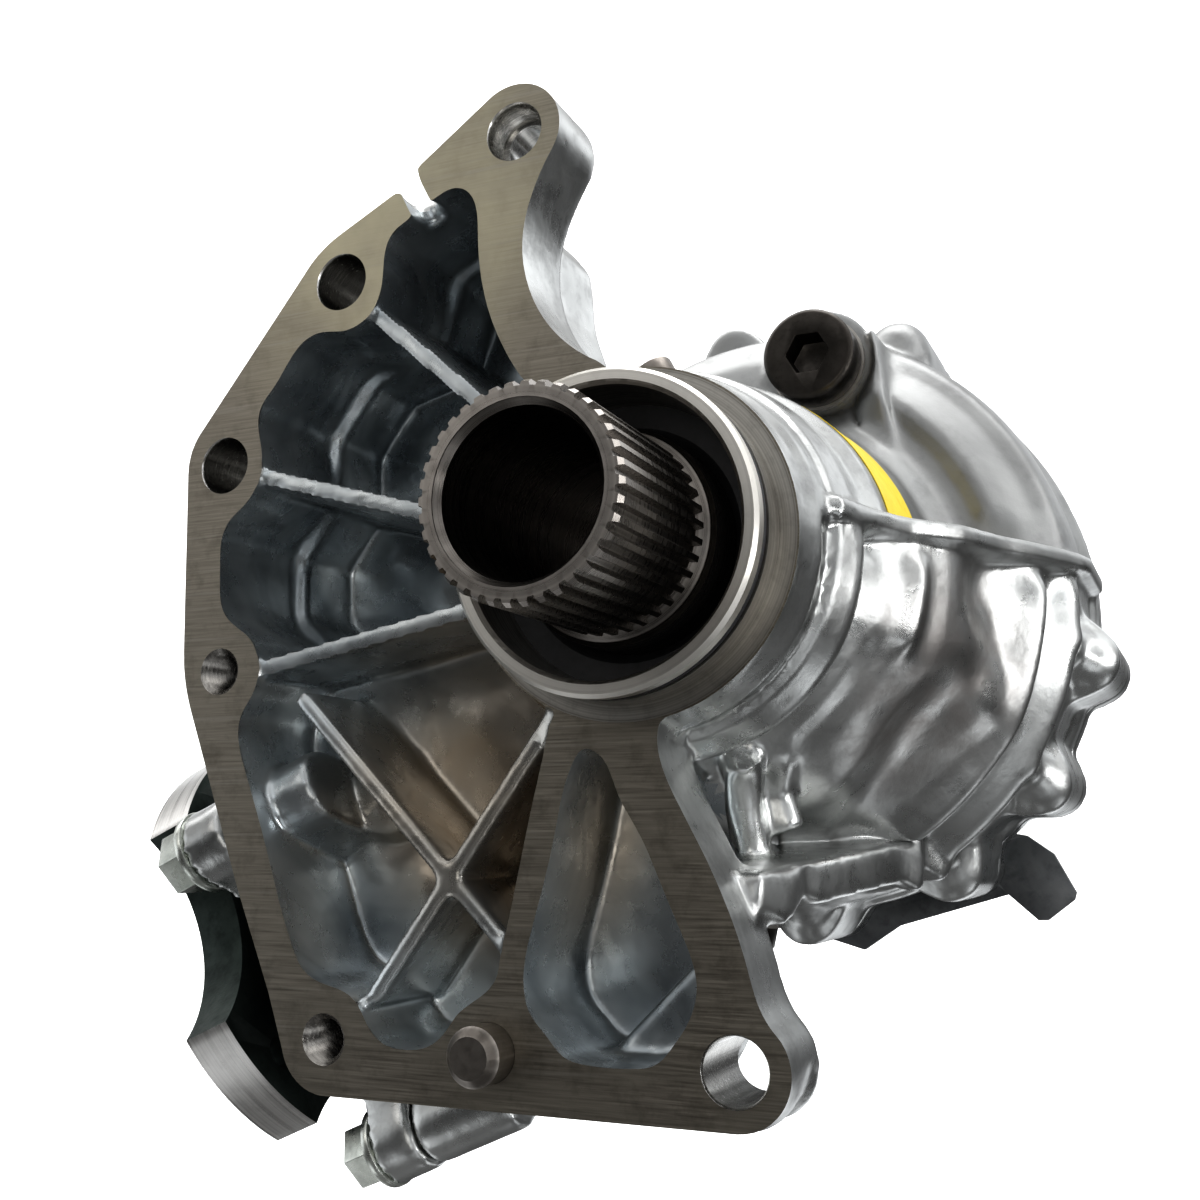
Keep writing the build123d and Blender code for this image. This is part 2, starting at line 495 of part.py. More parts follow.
# ---------------------------------------------------------------- tapered roller bearings
def taper_bearing(name, kind, u0, sgn, rb, ro, T, rm, rho, alpha=12.5, run=0.025):
    """Cone back face at u0; u grows along sgn. kind: in = input axis, pin = pinion axis."""
    al = math.radians(alpha)
    um = 0.5 * T
    U = um + rm / math.tan(al)
    dl = math.atan(rho / (rm / math.sin(al)))
    ri = lambda u: (U - u) * math.tan(al - dl)
    rr = lambda u: (U - u) * math.tan(al + dl)
    rc = lambda u: (U - u) * math.tan(al)
    u_rib, u_small = 0.15 * T, 0.80 * T
    ub = u_rib + 0.12 + rho * 1.05 * math.sin(al)
    us = u_small - 0.5
    t1, t2 = (U - us) / math.cos(al), (U - ub) / math.cos(al)
    mk = (lambda pts: ring_in_axis([(r, u0 + sgn * u) for u, r in pts])) if kind == "in" else (lambda pts: ring_pin_axis([(u0 + sgn * u, r) for u, r in pts]))
    cone = mk([(0, rb), (0, ri(u_rib) + 0.75 * rho), (u_rib, ri(u_rib) + 0.75 * rho), (u_rib, ri(u_rib)), (u_small, ri(u_small)),
               (u_small, ri(u_small) + 0.25 * rho), (0.9 * T, ri(u_small) + 0.2 * rho), (0.9 * T, rb)])
    save(cone, name + "_cone")
    cup = mk([(0.15 * T, rr(0.15 * T)), (0.15 * T, ro), (T, ro), (T, rr(T))])
    save(cup, name + "_cup")
    n = int(2 * math.pi * rm / (2 * rho * 1.22))
    main_axis = Axis.Y if kind == "in" else PAX
    apex = Vector(0, u0 + sgn * U, 0) if kind == "in" else Op + d * (u0 + sgn * U)
    axial = Vector(0, -sgn, 0) if kind == "in" else d * (-sgn)
    rad = Vector(1, 0, 0) if kind == "in" else Vector(0, 1, 0)
    ax = axial * math.cos(al) + rad * math.sin(al)
    pl = Plane(origin=apex, x_dir=ax, z_dir=ax.cross(rad))

    def roller(ta, tb, grow):
        with BuildPart() as r:
            with BuildSketch(pl):
                with BuildLine():
                    Polyline((ta, 0), (ta, ta * math.tan(dl) + grow), (tb, tb * math.tan(dl) + grow), (tb, 0), close=True)
                make_face()
            revolve(axis=Axis(apex, ax))
        return r

    one, wide = roller(t1, t2, -run), roller(t1 - 0.25, t2 + 0.25, 0.14)
    with BuildPart() as rollers:
        add([one.part.rotate(main_axis, k * 360 / n) for k in range(n)], clean=False)
    save(rollers, name + "_rollers")
    lo, hi = 0.28 * rho, 0.28 * rho + 0.9
    ca, cb = ub - 1.3, us + 1.5
    with BuildPart() as cage:
        add(mk([(ca, rc(ca) + lo), (ca, rc(ca) + hi), (cb, rc(cb) + hi), (cb, rc(cb) + lo)]).part)
        add([wide.part.rotate(main_axis, k * 360 / n) for k in range(n)], clean=False, mode=Mode.SUBTRACT)
    save(cage, name + "_cage")
    print(name, "rollers", n, "cage solids", len(cage.part.solids()), "speed ratio of the cage", round(ri(um) / (ri(um) + rr(um)), 5))


taper_bearing("input_front_bearing", "in", 42.0, -1, 22.5, 37.5, 20.0, 29.8, 3.9)
taper_bearing("input_rear_bearing", "in", 130.0, 1, 22.5, 37.5, 20.0, 29.8, 3.9)
taper_bearing("pinion_head_bearing", "pin", 73.0, 1, 17.5, 36.0, 23.0, 27.0, 4.6)
taper_bearing("pinion_tail_bearing", "pin", 123.0, -1, 15.0, 31.0, 17.0, 23.2, 3.7)

# ---------------------------------------------------------------- input shaft
def star(n, root, tip, w_root, w_tip):
    """Points of a straight-sided spline profile."""
    pts = []
    for k in range(n):
        c = 2 * math.pi * k / n
        for r, w in ((root, -w_root), (tip, -w_tip), (tip, w_tip), (root, w_root)):
            a = c + w / r
            pts.append((r * math.cos(a), r * math.sin(a)))
    return pts


with BuildPart() as input_shaft:
    add(ring_in_axis([(10, tip_y), (spline_root, tip_y), (spline_root, -8.5), (21.4, -7.2), (22.3, -6.0), (22.3, 21), (22.48, 22), (22.48, 42), (27, 42), (27, 50), (25, 52),
                      (25, 96), (33, 104), (42.98, 109), (42.98, 118), (62, 118), (62, 126), (28, 126), (28, 130), (22.48, 130), (22.48, 150), (21, 151), (21, 160), (10, 160)]).part)
    with BuildSketch(front(tip_y)):
        with BuildLine():
            Polyline(*star(spline_n, spline_root - 0.2, spline_tip, 1.05, 0.55), close=True)
        make_face()
    extrude(amount=-(40 - 1.5))
    add(ring_in_axis([(19.0, tip_y - 1), (30, tip_y - 1), (30, tip_y + 1.4), (20.4, tip_y + 1.4)]).part, mode=Mode.SUBTRACT)     # tooth end chamfer
    add(ring_in_axis([(0, tip_y - 5), (16.9, tip_y - 5), (16.9, tip_y + 0.3), (bore_r, tip_y + 1.6), (bore_r, 158.8), (17, 160), (17, 170), (0, 170)]).part, mode=Mode.SUBTRACT)
    with BuildSketch(back(0, 0, 126)):
        for a in ring_bolt_angles:
            with Locations(polar(54, a)):
                Circle(4.2)
    extrude(amount=-9, mode=Mode.SUBTRACT)
save(input_shaft, "input_shaft")

# ---------------------------------------------------------------- gear pair
rp = module * n_pin / 2
rbase = rp * math.cos(math.radians(press))
r_tip, r_root = rp + 0.93 * module, rp - 1.22 * module
inv = lambda x: math.tan(x) - x


def half_angle(r, grow=0.0):
    """Half angle of a pinion tooth at radius r."""
    q = math.acos(min(1.0, rbase / max(r, rbase)))
    return math.pi / (2 * n_pin) + inv(math.radians(press)) - inv(q) + grow / r


with BuildPart() as drive_pinion:
    add(ring_pin_axis([(gear_s0 - 1, 0), (gear_s0 - 1, r_root - 3), (gear_s0, r_root), (gear_s1, r_root), (64, r_root), (68, 20), (71.5, 20), (71.5, 17.48),
                       (96, 17.48), (96, 15.6), (106, 15.6), (106, 14.98), (123, 14.98), (123, 12.9), (149, 12.9), (149, 9.98), (157.0, 9.98), (157.6, 9.4), (157.6, 0)]).part)
    with BuildSketch(across(gear_s0)):
        tooth = []
        for k in range(n_pin):
            c = math.pi + 2 * math.pi * k / n_pin   # first tooth points to +Y, to the ring gear
            radii = [r_root - 0.3] + [rbase + (r_tip - rbase) * j / 6 for j in range(7)]
            for r in radii:
                a = c - half_angle(r)
                tooth.append((r * math.cos(a), r * math.sin(a)))
            for r in reversed(radii):
                a = c + half_angle(r)
                tooth.append((r * math.cos(a), r * math.sin(a)))
        with BuildLine():
            Polyline(*tooth, close=True)
        make_face()
    extrude(amount=-(gear_s1 - gear_s0))
    with BuildSketch(across(124)):
        with BuildLine():
            Polyline(*star(24, 12.8, 13.9, 1.1, 0.8), close=True)
        make_face()
    extrude(amount=-25)
save(drive_pinion, "drive_pinion")

with BuildPart() as cutter:                         # one tooth space, flat flanks
    for side, slope, sg in ((side_down, slope_down, 1), (side_up, slope_up, -1)):
        u = (d + e * slope).normalized()
        with BuildSketch(Plane(origin=Op + d * 51 - u * 17, x_dir=(0, -1, 0), z_dir=-u)):
            with BuildLine():
                Polyline((-(side[0][0] - pin_y), -sg * 0.8), *[(-(y - pin_y), sg * w) for y, w in side], (-(side[-1][0] - pin_y), -sg * 0.8), close=True)
            make_face()
        extrude(amount=-36)

with BuildPart() as ring_gear:
    add(ring_in_axis([(ring_in, 110), (50.0, 107.5), (53.0, 106.0), (53.0, ring_tip_y), (65.6, ring_tip_y), (66.0, 99.0), (66.0, 105.5), (ring_out, 106.5), (ring_out, 117), (66, ring_back),
                      (ring_in, ring_back)]).part)
    add([cutter.part.rotate(Axis.Y, k * 360 / n_ring) for k in range(n_ring)], clean=False, mode=Mode.SUBTRACT)
    with BuildSketch(back(0, 0, ring_back)):
        for a in ring_bolt_angles:
            with Locations(polar(54, a)):
                Circle(4.0)
    extrude(amount=-9, mode=Mode.SUBTRACT)
save(ring_gear, "ring_gear")
print("ring_gear solids", len(ring_gear.part.solids()))

# ---------------------------------------------------------------- output side
with BuildPart() as companion_flange:
    add(ring_pin_axis([(123.0, 10), (123.0, 18.2), (123.8, 19.0), (143.0, 19.0), (143.2, 21.0), (comp_s, 27), (comp_s, 36), (comp_s + comp_t, 36), (comp_s + comp_t, 10)]).part)
    with BuildSketch(across(comp_s)):
        with BuildLine():
            for k in range(4):
                c = 45 + 90 * k + comp_turn
                ThreePointArc(polar(comp_R, c - comp_half), polar(comp_R, c), polar(comp_R, c + comp_half))
                ThreePointArc(polar(comp_R, c + comp_half), polar(comp_r, c + 45), polar(comp_R, c + 90 - comp_half))
        make_face()
        Circle(20, mode=Mode.SUBTRACT)
    extrude(amount=-comp_t)
    with BuildSketch(across(comp_s - 5)):
        for k in range(4):
            with Locations(polar(comp_hole_R, 45 + 90 * k + comp_turn)):
                Circle(comp_hole_r)
    extrude(amount=-30, mode=Mode.SUBTRACT)
    add(ring_pin_axis([(comp_s + comp_t - 3, 0), (comp_s + comp_t - 3, 31.0), (comp_s + comp_t + 5, 31.0), (comp_s + comp_t + 5, 0)]).part, mode=Mode.SUBTRACT)
    add(ring_pin_axis([(149, 0), (149, 20.0), (comp_s + comp_t + 5, 20.0), (comp_s + comp_t + 5, 0)]).part, mode=Mode.SUBTRACT)
    with BuildSketch(across(110)):
        with BuildLine():
            Polyline(*star(24, 12.95, 14.0, 1.16, 0.86), close=True)
        make_face()
    extrude(amount=-50, mode=Mode.SUBTRACT)
save(companion_flange, "companion_flange")
pinion_washer = ring_pin_axis([(149, 10.2), (149, 17.0), (151, 17.0), (151, 10.2)])
save(pinion_washer, "pinion_washer")
with BuildPart() as pinion_nut:
    with BuildSketch(across(151)):
        RegularPolygon(14.0, 6, major_radius=False)
        Circle(10.0, mode=Mode.SUBTRACT)
    extrude(amount=-6.5)
save(pinion_nut, "pinion_nut")
pinion_spacer = ring_pin_axis([(96, 17.6), (96, 19.6), (98.5, 19.8), (101, 21.6), (103.5, 19.8), (106, 19.6), (106, 17.6), (103.5, 17.8), (101, 19.6), (98.5, 17.8)])
save(pinion_spacer, "pinion_spacer")
pinion_shim = ring_pin_axis([(71.5, 17.6), (71.5, 22.5), (73, 22.5), (73, 17.6)])
save(pinion_shim, "pinion_shim")
dust_deflector = ring_pin_axis([(141.6, 19.02), (141.6, 41.2), (136.5, 41.2), (136.5, 42.2), (142.8, 42.2), (142.8, 19.02)])
save(dust_deflector, "dust_deflector")
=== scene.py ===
import bpy
import bmesh
import json
import math
import numpy as np
from mathutils import Vector, Matrix


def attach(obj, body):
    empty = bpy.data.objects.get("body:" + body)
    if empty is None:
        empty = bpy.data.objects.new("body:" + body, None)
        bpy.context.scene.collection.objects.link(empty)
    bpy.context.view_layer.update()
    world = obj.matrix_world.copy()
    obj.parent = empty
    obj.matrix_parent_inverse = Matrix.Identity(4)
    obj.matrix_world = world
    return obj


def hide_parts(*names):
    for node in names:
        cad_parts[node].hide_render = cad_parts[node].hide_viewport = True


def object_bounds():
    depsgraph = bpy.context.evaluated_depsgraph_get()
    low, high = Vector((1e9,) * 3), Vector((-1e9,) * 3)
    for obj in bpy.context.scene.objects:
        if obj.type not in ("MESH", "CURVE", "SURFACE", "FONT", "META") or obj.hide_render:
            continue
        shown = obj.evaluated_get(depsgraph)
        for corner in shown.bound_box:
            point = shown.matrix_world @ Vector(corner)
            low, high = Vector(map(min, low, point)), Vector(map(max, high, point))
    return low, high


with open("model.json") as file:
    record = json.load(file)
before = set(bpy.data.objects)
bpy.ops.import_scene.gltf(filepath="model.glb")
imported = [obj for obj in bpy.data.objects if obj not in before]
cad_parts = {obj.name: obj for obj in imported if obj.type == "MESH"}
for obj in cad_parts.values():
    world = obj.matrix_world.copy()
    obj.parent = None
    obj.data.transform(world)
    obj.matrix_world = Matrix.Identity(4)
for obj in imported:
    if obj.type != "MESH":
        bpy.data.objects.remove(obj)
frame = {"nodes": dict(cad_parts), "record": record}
cad_lo, cad_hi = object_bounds()
NODES = frame["nodes"]
BODY = {n: b for b, ns in frame["record"]["behaviour"]["bodies"].items() for n in ns}
MM = 0.001

# ------------------------------------------------------------------ frames of the part
CT, ST = math.cos(math.radians(24)), math.sin(math.radians(24))
D = Vector((-CT, 0, -ST))                       # along the pinion, outwards
E = Vector((ST, 0, -CT))                        # offset direction, down
OP = Vector((0, 80, 0)) + E * 28
PIN_FRAME = Matrix(((0, E.x, D.x, OP.x), (-1, E.y, D.y, OP.y), (0, E.z, D.z, OP.z), (0, 0, 0, 1)))   # x = -Y, y = e, z = d


def pol(r, a):
    return r * math.cos(math.radians(a)), r * math.sin(math.radians(a))


# ------------------------------------------------------------------ mesh helpers (lengths in mm)
def obj_from_bm(bm, name):
    me = bpy.data.meshes.new(name)
    bm.to_mesh(me)
    bm.free()
    o = bpy.data.objects.new(name, me)
    bpy.context.scene.collection.objects.link(o)
    return o


def lathe_bm(pts, frame_m=None, n=96, a0=0.0, a1=360.0):
    """Closed solid of revolution from a closed (radius, along) outline. Along is +Y, or the pinion axis with PIN_FRAME."""
    bm = bmesh.new()
    full = abs(a1 - a0 - 360) < 1e-6
    steps = n if full else max(3, int(n * (a1 - a0) / 360))
    rings = []
    for k in range(steps if full else steps + 1):
        c, s = pol(1.0, a0 + (a1 - a0) * k / steps)
        row = []
        for r, u in pts:
            p = Vector((r * c, u, r * s)) if frame_m is None else frame_m @ Vector((r * c, r * s, u))
            row.append(bm.verts.new(p * MM))
        rings.append(row)
    m = len(pts)
    for k in range(steps):
        a, b = rings[k], rings[(k + 1) % len(rings)]
        for i in range(m):
            j = (i + 1) % m
            if pts[i][0] < 1e-6 and pts[j][0] < 1e-6:
                continue
            bm.faces.new((a[i], a[j], b[j], b[i]))
    if not full:
        bm.faces.new(rings[0])
        bm.faces.new(list(reversed(rings[-1])))
    bmesh.ops.remove_doubles(bm, verts=bm.verts, dist=1e-7)
    bmesh.ops.recalc_face_normals(bm, faces=bm.faces)
    return bm


def solid(bm, name="tool"):
    bmesh.ops.recalc_face_normals(bm, faces=bm.faces)
    return obj_from_bm(bm, name)


def prism_bm(pts, y0, y1):
    """Outline in (x, z) pushed from y0 to y1."""
    bm = bmesh.new()
    a = [bm.verts.new(Vector((x, y0, z)) * MM) for x, z in pts]
    b = [bm.verts.new(Vector((x, y1, z)) * MM) for x, z in pts]
    bm.faces.new(a)
    bm.faces.new(list(reversed(b)))
    for i in range(len(pts)):
        j = (i + 1) % len(pts)
        bm.faces.new((a[j], a[i], b[i], b[j]))
    bmesh.ops.triangulate(bm, faces=[f for f in bm.faces if len(f.verts) > 4])
    bmesh.ops.recalc_face_normals(bm, faces=bm.faces)
    return bm


def rod_bm(path, radii, n=14):
    """Rounded bar along points, for cast ridges and bumps."""
    bm = bmesh.new()
    pts = [Vector(p) for p in path]
    rings = []
    prev = None
    for i, p in enumerate(pts):
        t = (pts[min(i + 1, len(pts) - 1)] - pts[max(i - 1, 0)]).normalized()
        if prev is None:
            ref = Vector((0, 0, 1)) if abs(t.z) < 0.9 else Vector((1, 0, 0))
            x = t.cross(ref).normalized()
        else:
            x = (prev - t * prev.dot(t)).normalized()
        prev = x
        y = t.cross(x)
        rr = radii[i] if isinstance(radii, (list, tuple)) else radii
        rings.append([bm.verts.new((p + (x * math.cos(2 * math.pi * k / n) + y * math.sin(2 * math.pi * k / n)) * rr) * MM) for k in range(n)])
    for a, b in zip(rings, rings[1:]):
        for k in range(n):
            bm.faces.new((a[k], a[(k + 1) % n], b[(k + 1) % n], b[k]))
    bm.faces.new(rings[0])
    bm.faces.new(list(reversed(rings[-1])))
    bmesh.ops.recalc_face_normals(bm, faces=bm.faces)
    return bm


def ball_bm(c, r, squash=(1, 1, 1)):
    bm = bmesh.new()
    bmesh.ops.create_icosphere(bm, subdivisions=3, radius=r * MM)
    bmesh.ops.scale(bm, vec=squash, verts=bm.verts)
    bmesh.ops.translate(bm, vec=Vector(c) * MM, verts=bm.verts)
    return bm


def joined(bms, name):
    whole = bmesh.new()
    for b in bms:
        me = bpy.data.meshes.new("part")
        b.to_mesh(me)
        b.free()
        whole.from_mesh(me)
        bpy.data.meshes.remove(me)
    return obj_from_bm(whole, name)


def applied(o, name=None):
    """Modifiers worked into a new mesh."""
    dg = bpy.context.evaluated_depsgraph_get()
    me = bpy.data.meshes.new_from_object(o.evaluated_get(dg), preserve_all_data_layers=True, depsgraph=dg)
    o.modifiers.clear()
    old = o.data
    o.data = me
    if old.users == 0:
        bpy.data.meshes.remove(old)
    return o


def boolean(o, tool, op):
    before = len(o.data.polygons)
    for solver in ("MANIFOLD", "EXACT"):
        keep = o.data.copy()
        m = o.modifiers.new("b", "BOOLEAN")
        m.object, m.operation, m.solver = tool, op, solver
        try:
            m.material_mode = "TRANSFER"
        except AttributeError:
            pass
        applied(o)
        if len(o.data.polygons) > before * 0.2:
            break
        print("boolean", tool.name, solver, "left", len(o.data.polygons), "faces")
        o.data = keep
    bpy.data.objects.remove(tool)
    return o


def clean_copy(node, name):
    bm = bmesh.new()
    bm.from_mesh(NODES[node].data)
    bmesh.ops.remove_doubles(bm, verts=bm.verts, dist=2e-6)
    return obj_from_bm(bm, name)


def soften(o, weight, rounds, lam=0.5):
    """Rounds edges as casting fillets do, where weight (one number a vertex) is over zero."""
    me = o.data
    nv = len(me.vertices)
    co = np.zeros(nv * 3)
    me.vertices.foreach_get("co", co)
    co = co.reshape(-1, 3)
    ed = np.zeros(len(me.edges) * 2, np.int64)
    me.edges.foreach_get("vertices", ed)
    ed = ed.reshape(-1, 2)
    deg = np.bincount(ed.ravel(), minlength=nv).astype(float)
    w = weight(co / MM)[:, None] * lam
    for _ in range(rounds):
        s = np.empty_like(co)
        for c in range(3):
            s[:, c] = np.bincount(ed[:, 0], co[ed[:, 1], c], nv) + np.bincount(ed[:, 1], co[ed[:, 0], c], nv)
        co = co + (s / deg[:, None] - co) * w
    me.vertices.foreach_set("co", co.astype(np.float32).ravel())
    me.update()
    return o


def remeshed(o, voxel):
    m = o.modifiers.new("r", "REMESH")
    m.mode, m.voxel_size, m.adaptivity = "VOXEL", voxel * MM, 0.0
    return applied(o)


def thinned(o, most):
    tris = sum(len(p.vertices) - 2 for p in o.data.polygons)
    if tris > most:
        m = o.modifiers.new("d", "DECIMATE")
        m.ratio = most / tris
        applied(o)
    return o


def smooth(o, angle=35):
    me = o.data
    me.polygons.foreach_set("use_smooth", [True] * len(me.polygons))
    bm = bmesh.new()
    bm.from_mesh(me)
    lim = math.radians(angle)
    for e in bm.edges:
        e.smooth = len(e.link_faces) == 2 and e.calc_face_angle(0) < lim and e.link_faces[0].material_index == e.link_faces[1].material_index
    bm.to_mesh(me)
    bm.free()
    return o


def crisp(node, name, bevel=0.35, angle=32, segs=2, weld=True):
    """The CAD shape with small turned or broken edges."""
    o = clean_copy(node, name)
    bm = bmesh.new()
    bm.from_mesh(o.data)
    bmesh.ops.dissolve_limit(bm, angle_limit=math.radians(1.0), verts=bm.verts, edges=bm.edges)
    bm.to_mesh(o.data)
    bm.free()
    if bevel:
        m = o.modifiers.new("v", "BEVEL")
        m.width, m.segments, m.limit_method, m.angle_limit = bevel * MM, segs, "ANGLE", math.radians(angle)
        m.use_clamp_overlap = True
        applied(o)
    smooth(o, 30)
    return o


def place(o, node, *others):
    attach(o, BODY[node])
    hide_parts(node, *others)
    return o


# ------------------------------------------------------------------ node helpers
class Mat:
    def __init__(self, name):
        self.m = bpy.data.materials.new(name)
        self.m.use_nodes = True
        self.t = self.m.node_tree
        self.t.nodes.clear()
        self.out = self.t.nodes.new("ShaderNodeOutputMaterial")
        self.b = self.t.nodes.new("ShaderNodeBsdfPrincipled")
        self.t.links.new(self.b.outputs[0], self.out.inputs[0])
        self.tc = self.t.nodes.new("ShaderNodeTexCoord")

    def link(self, a, b):
        self.t.links.new(a, b)
        return b

    def coords(self, scale=(1, 1, 1), rot=(0, 0, 0), loc=(0, 0, 0)):
        n = self.t.nodes.new("ShaderNodeMapping")
        n.inputs["Scale"].default_value = scale
        n.inputs["Rotation"].default_value = [math.radians(a) for a in rot]
        n.inputs["Location"].default_value = loc
        self.link(self.tc.outputs["Object"], n.inputs[0])
        return n.outputs[0]

    def noise(self, vec, scale, detail=3, rough=0.55, dist=0.0):
        n = self.t.nodes.new("ShaderNodeTexNoise")
        n.inputs["Scale"].default_value = scale
        n.inputs["Detail"].default_value = detail
        n.inputs["Roughness"].default_value = rough
        n.inputs["Distortion"].default_value = dist
        self.link(vec, n.inputs["Vector"])
        return n.outputs[0]

    def ramp(self, fac, stops):
        n = self.t.nodes.new("ShaderNodeValToRGB")
        while len(n.color_ramp.elements) < len(stops):
            n.color_ramp.elements.new(0.5)
        for e, (p, c) in zip(n.color_ramp.elements, stops):
            e.position = p
            e.color = (c, c, c, 1) if isinstance(c, (int, float)) else (*c, 1)
        self.link(fac, n.inputs[0])
        return n.outputs[0]

    def math(self, op, a, b=None, clamp=False):
        n = self.t.nodes.new("ShaderNodeMath")
        n.operation, n.use_clamp = op, clamp
        for i, v in enumerate((a, b)):
            if v is None:
                continue
            if isinstance(v, (int, float)):
                n.inputs[i].default_value = v
            else:
                self.link(v, n.inputs[i])
        return n.outputs[0]

    def mix(self, fac, a, b, mode="MIX"):
        n = self.t.nodes.new("ShaderNodeMix")
        n.data_type, n.blend_type = "RGBA", mode
        for s, v in ((n.inputs[0], fac), (n.inputs[6], a), (n.inputs[7], b)):
            if isinstance(v, (int, float)):
                s.default_value = v
            elif isinstance(v, tuple):
                s.default_value = (*v, 1)
            else:
                self.link(v, s)
        return n.outputs[2]

    def sep(self, vec=None):
        n = self.t.nodes.new("ShaderNodeSeparateXYZ")
        self.link(vec or self.tc.outputs["Object"], n.inputs[0])
        return n.outputs

    def near(self, c, r0, r1):
        """1 inside r0 mm of a point, 0 beyond r1 mm."""
        n = self.t.nodes.new("ShaderNodeVectorMath")
        n.operation = "DISTANCE"
        self.link(self.tc.outputs["Object"], n.inputs[0])
        n.inputs[1].default_value = [x * MM for x in c]
        k = self.t.nodes.new("ShaderNodeMapRange")
        k.interpolation_type = "SMOOTHSTEP"
        k.inputs["From Min"].default_value = r1 * MM
        k.inputs["From Max"].default_value = r0 * MM
        self.link(n.outputs["Value"], k.inputs[0])
        return k.outputs[0]

    def rng(self, v, a, b):
        k = self.t.nodes.new("ShaderNodeMapRange")
        k.interpolation_type = "SMOOTHSTEP"
        k.inputs["From Min"].default_value = a
        k.inputs["From Max"].default_value = b
        self.link(v, k.inputs[0])
        return k.outputs[0]

    def edges(self, lo=0.52, hi=0.60):
        g = self.t.nodes.new("ShaderNodeNewGeometry")
        return self.rng(g.outputs["Pointiness"], lo, hi)

    def bump(self, height, strength, dist, normal=None):
        n = self.t.nodes.new("ShaderNodeBump")
        n.inputs["Strength"].default_value = strength
        n.inputs["Distance"].default_value = dist * MM
        self.link(height, n.inputs["Height"])
        if normal is not None:
            self.link(normal, n.inputs["Normal"])
        return n.outputs[0]

    def done(self, color, rough, normal=None, metal=1.0, spec=0.5, coat=0.0, coat_rough=0.1):
        b = self.b.inputs
        b["Metallic"].default_value = metal
        b["Specular IOR Level"].default_value = spec
        b["Coat Weight"].default_value = coat
        b["Coat Roughness"].default_value = coat_rough
        for key, v in (("Base Color", color), ("Roughness", rough)):
            if isinstance(v, (int, float)):
                b[key].default_value = v
            elif isinstance(v, tuple):
                b[key].default_value = (*v, 1)
            else:
                self.link(v, b[key])
        if normal is not None:
            self.link(normal, b["Normal"])
        return self.m


def cast_bright():
    m = Mat("cast_bright")
    v = m.coords()
    big, mid, fine = m.noise(v, 22, 4, 0.6, 0.6), m.noise(v, 95, 5, 0.65), m.noise(v, 700, 3, 0.6)
    pits = m.noise(v, 330, 4, 0.7)
    col = m.mix(m.ramp(big, [(0.35, 0.0), (0.68, 1.0)]), (0.37, 0.375, 0.37), (0.64, 0.65, 0.64))
    col = m.mix(m.ramp(mid, [(0.52, 0.0), (0.72, 0.55)]), col, (0.19, 0.19, 0.19))
    stain = m.math("MULTIPLY", m.near((45, 62, -22), 8, 40), m.ramp(mid, [(0.3, 0.1), (0.6, 0.8)]))
    col = m.mix(stain, col, (0.33, 0.305, 0.29))
    # the upper bell above the ledge is duller
    s = m.sep()
    dull = m.math("MULTIPLY", m.rng(s[2], 0.004, 0.012), m.rng(s[1], 0.055, 0.085))
    col = m.mix(m.math("MULTIPLY", dull, 0.62), col, (0.20, 0.20, 0.20))
    col = m.mix(m.edges(), col, (0.66, 0.67, 0.68))
    rough = m.ramp(m.mix(dull, mid, (0.9, 0.9, 0.9)), [(0.3, 0.22), (0.7, 0.40), (1.0, 0.46)])
    n = m.bump(big, 0.30, 1.6)
    n = m.bump(mid, 0.28, 0.45, n)
    n = m.bump(pits, 0.25, 0.16, n)
    n = m.bump(fine, 0.22, 0.06, n)
    return m.done(col, rough, n)


def pocket_dark():
    m = Mat("pocket_dark")
    v = m.coords()
    big, mid, fine = m.noise(v, 30, 3, 0.55, 0.8), m.noise(v, 120, 4, 0.6), m.noise(v, 650, 3, 0.6)
    brown = m.near((-42, 26, -50), 20, 50)
    brown = m.math("MULTIPLY", brown, m.ramp(big, [(0.25, 0.45), (0.6, 1.0)]))
    blue = m.mix(m.ramp(big, [(0.35, 0.0), (0.7, 1.0)]), (0.27, 0.30, 0.32), (0.64, 0.675, 0.685))
    col = m.mix(brown, blue, (0.44, 0.375, 0.295))
    s = m.sep()
    # painted shade: the colour darkens deeper into the upper pockets, where shade falls in the recess
    painted_recess_shade = m.math("MULTIPLY", m.rng(s[1], 0.020, 0.046), m.rng(s[2], -0.018, 0.012))
    col = m.mix(m.math("MULTIPLY", painted_recess_shade, 0.25), col, (0.14, 0.155, 0.165))
    col = m.mix(m.math("MULTIPLY", m.edges(0.51, 0.58), 0.42), col, (0.40, 0.385, 0.36))
    rough = m.ramp(mid, [(0.3, 0.20), (0.7, 0.38)])
    n = m.bump(big, 0.45, 2.4)
    n = m.bump(mid, 0.25, 0.35, n)
    n = m.bump(fine, 0.2, 0.05, n)
    return m.done(col, rough, n, metal=0.80)


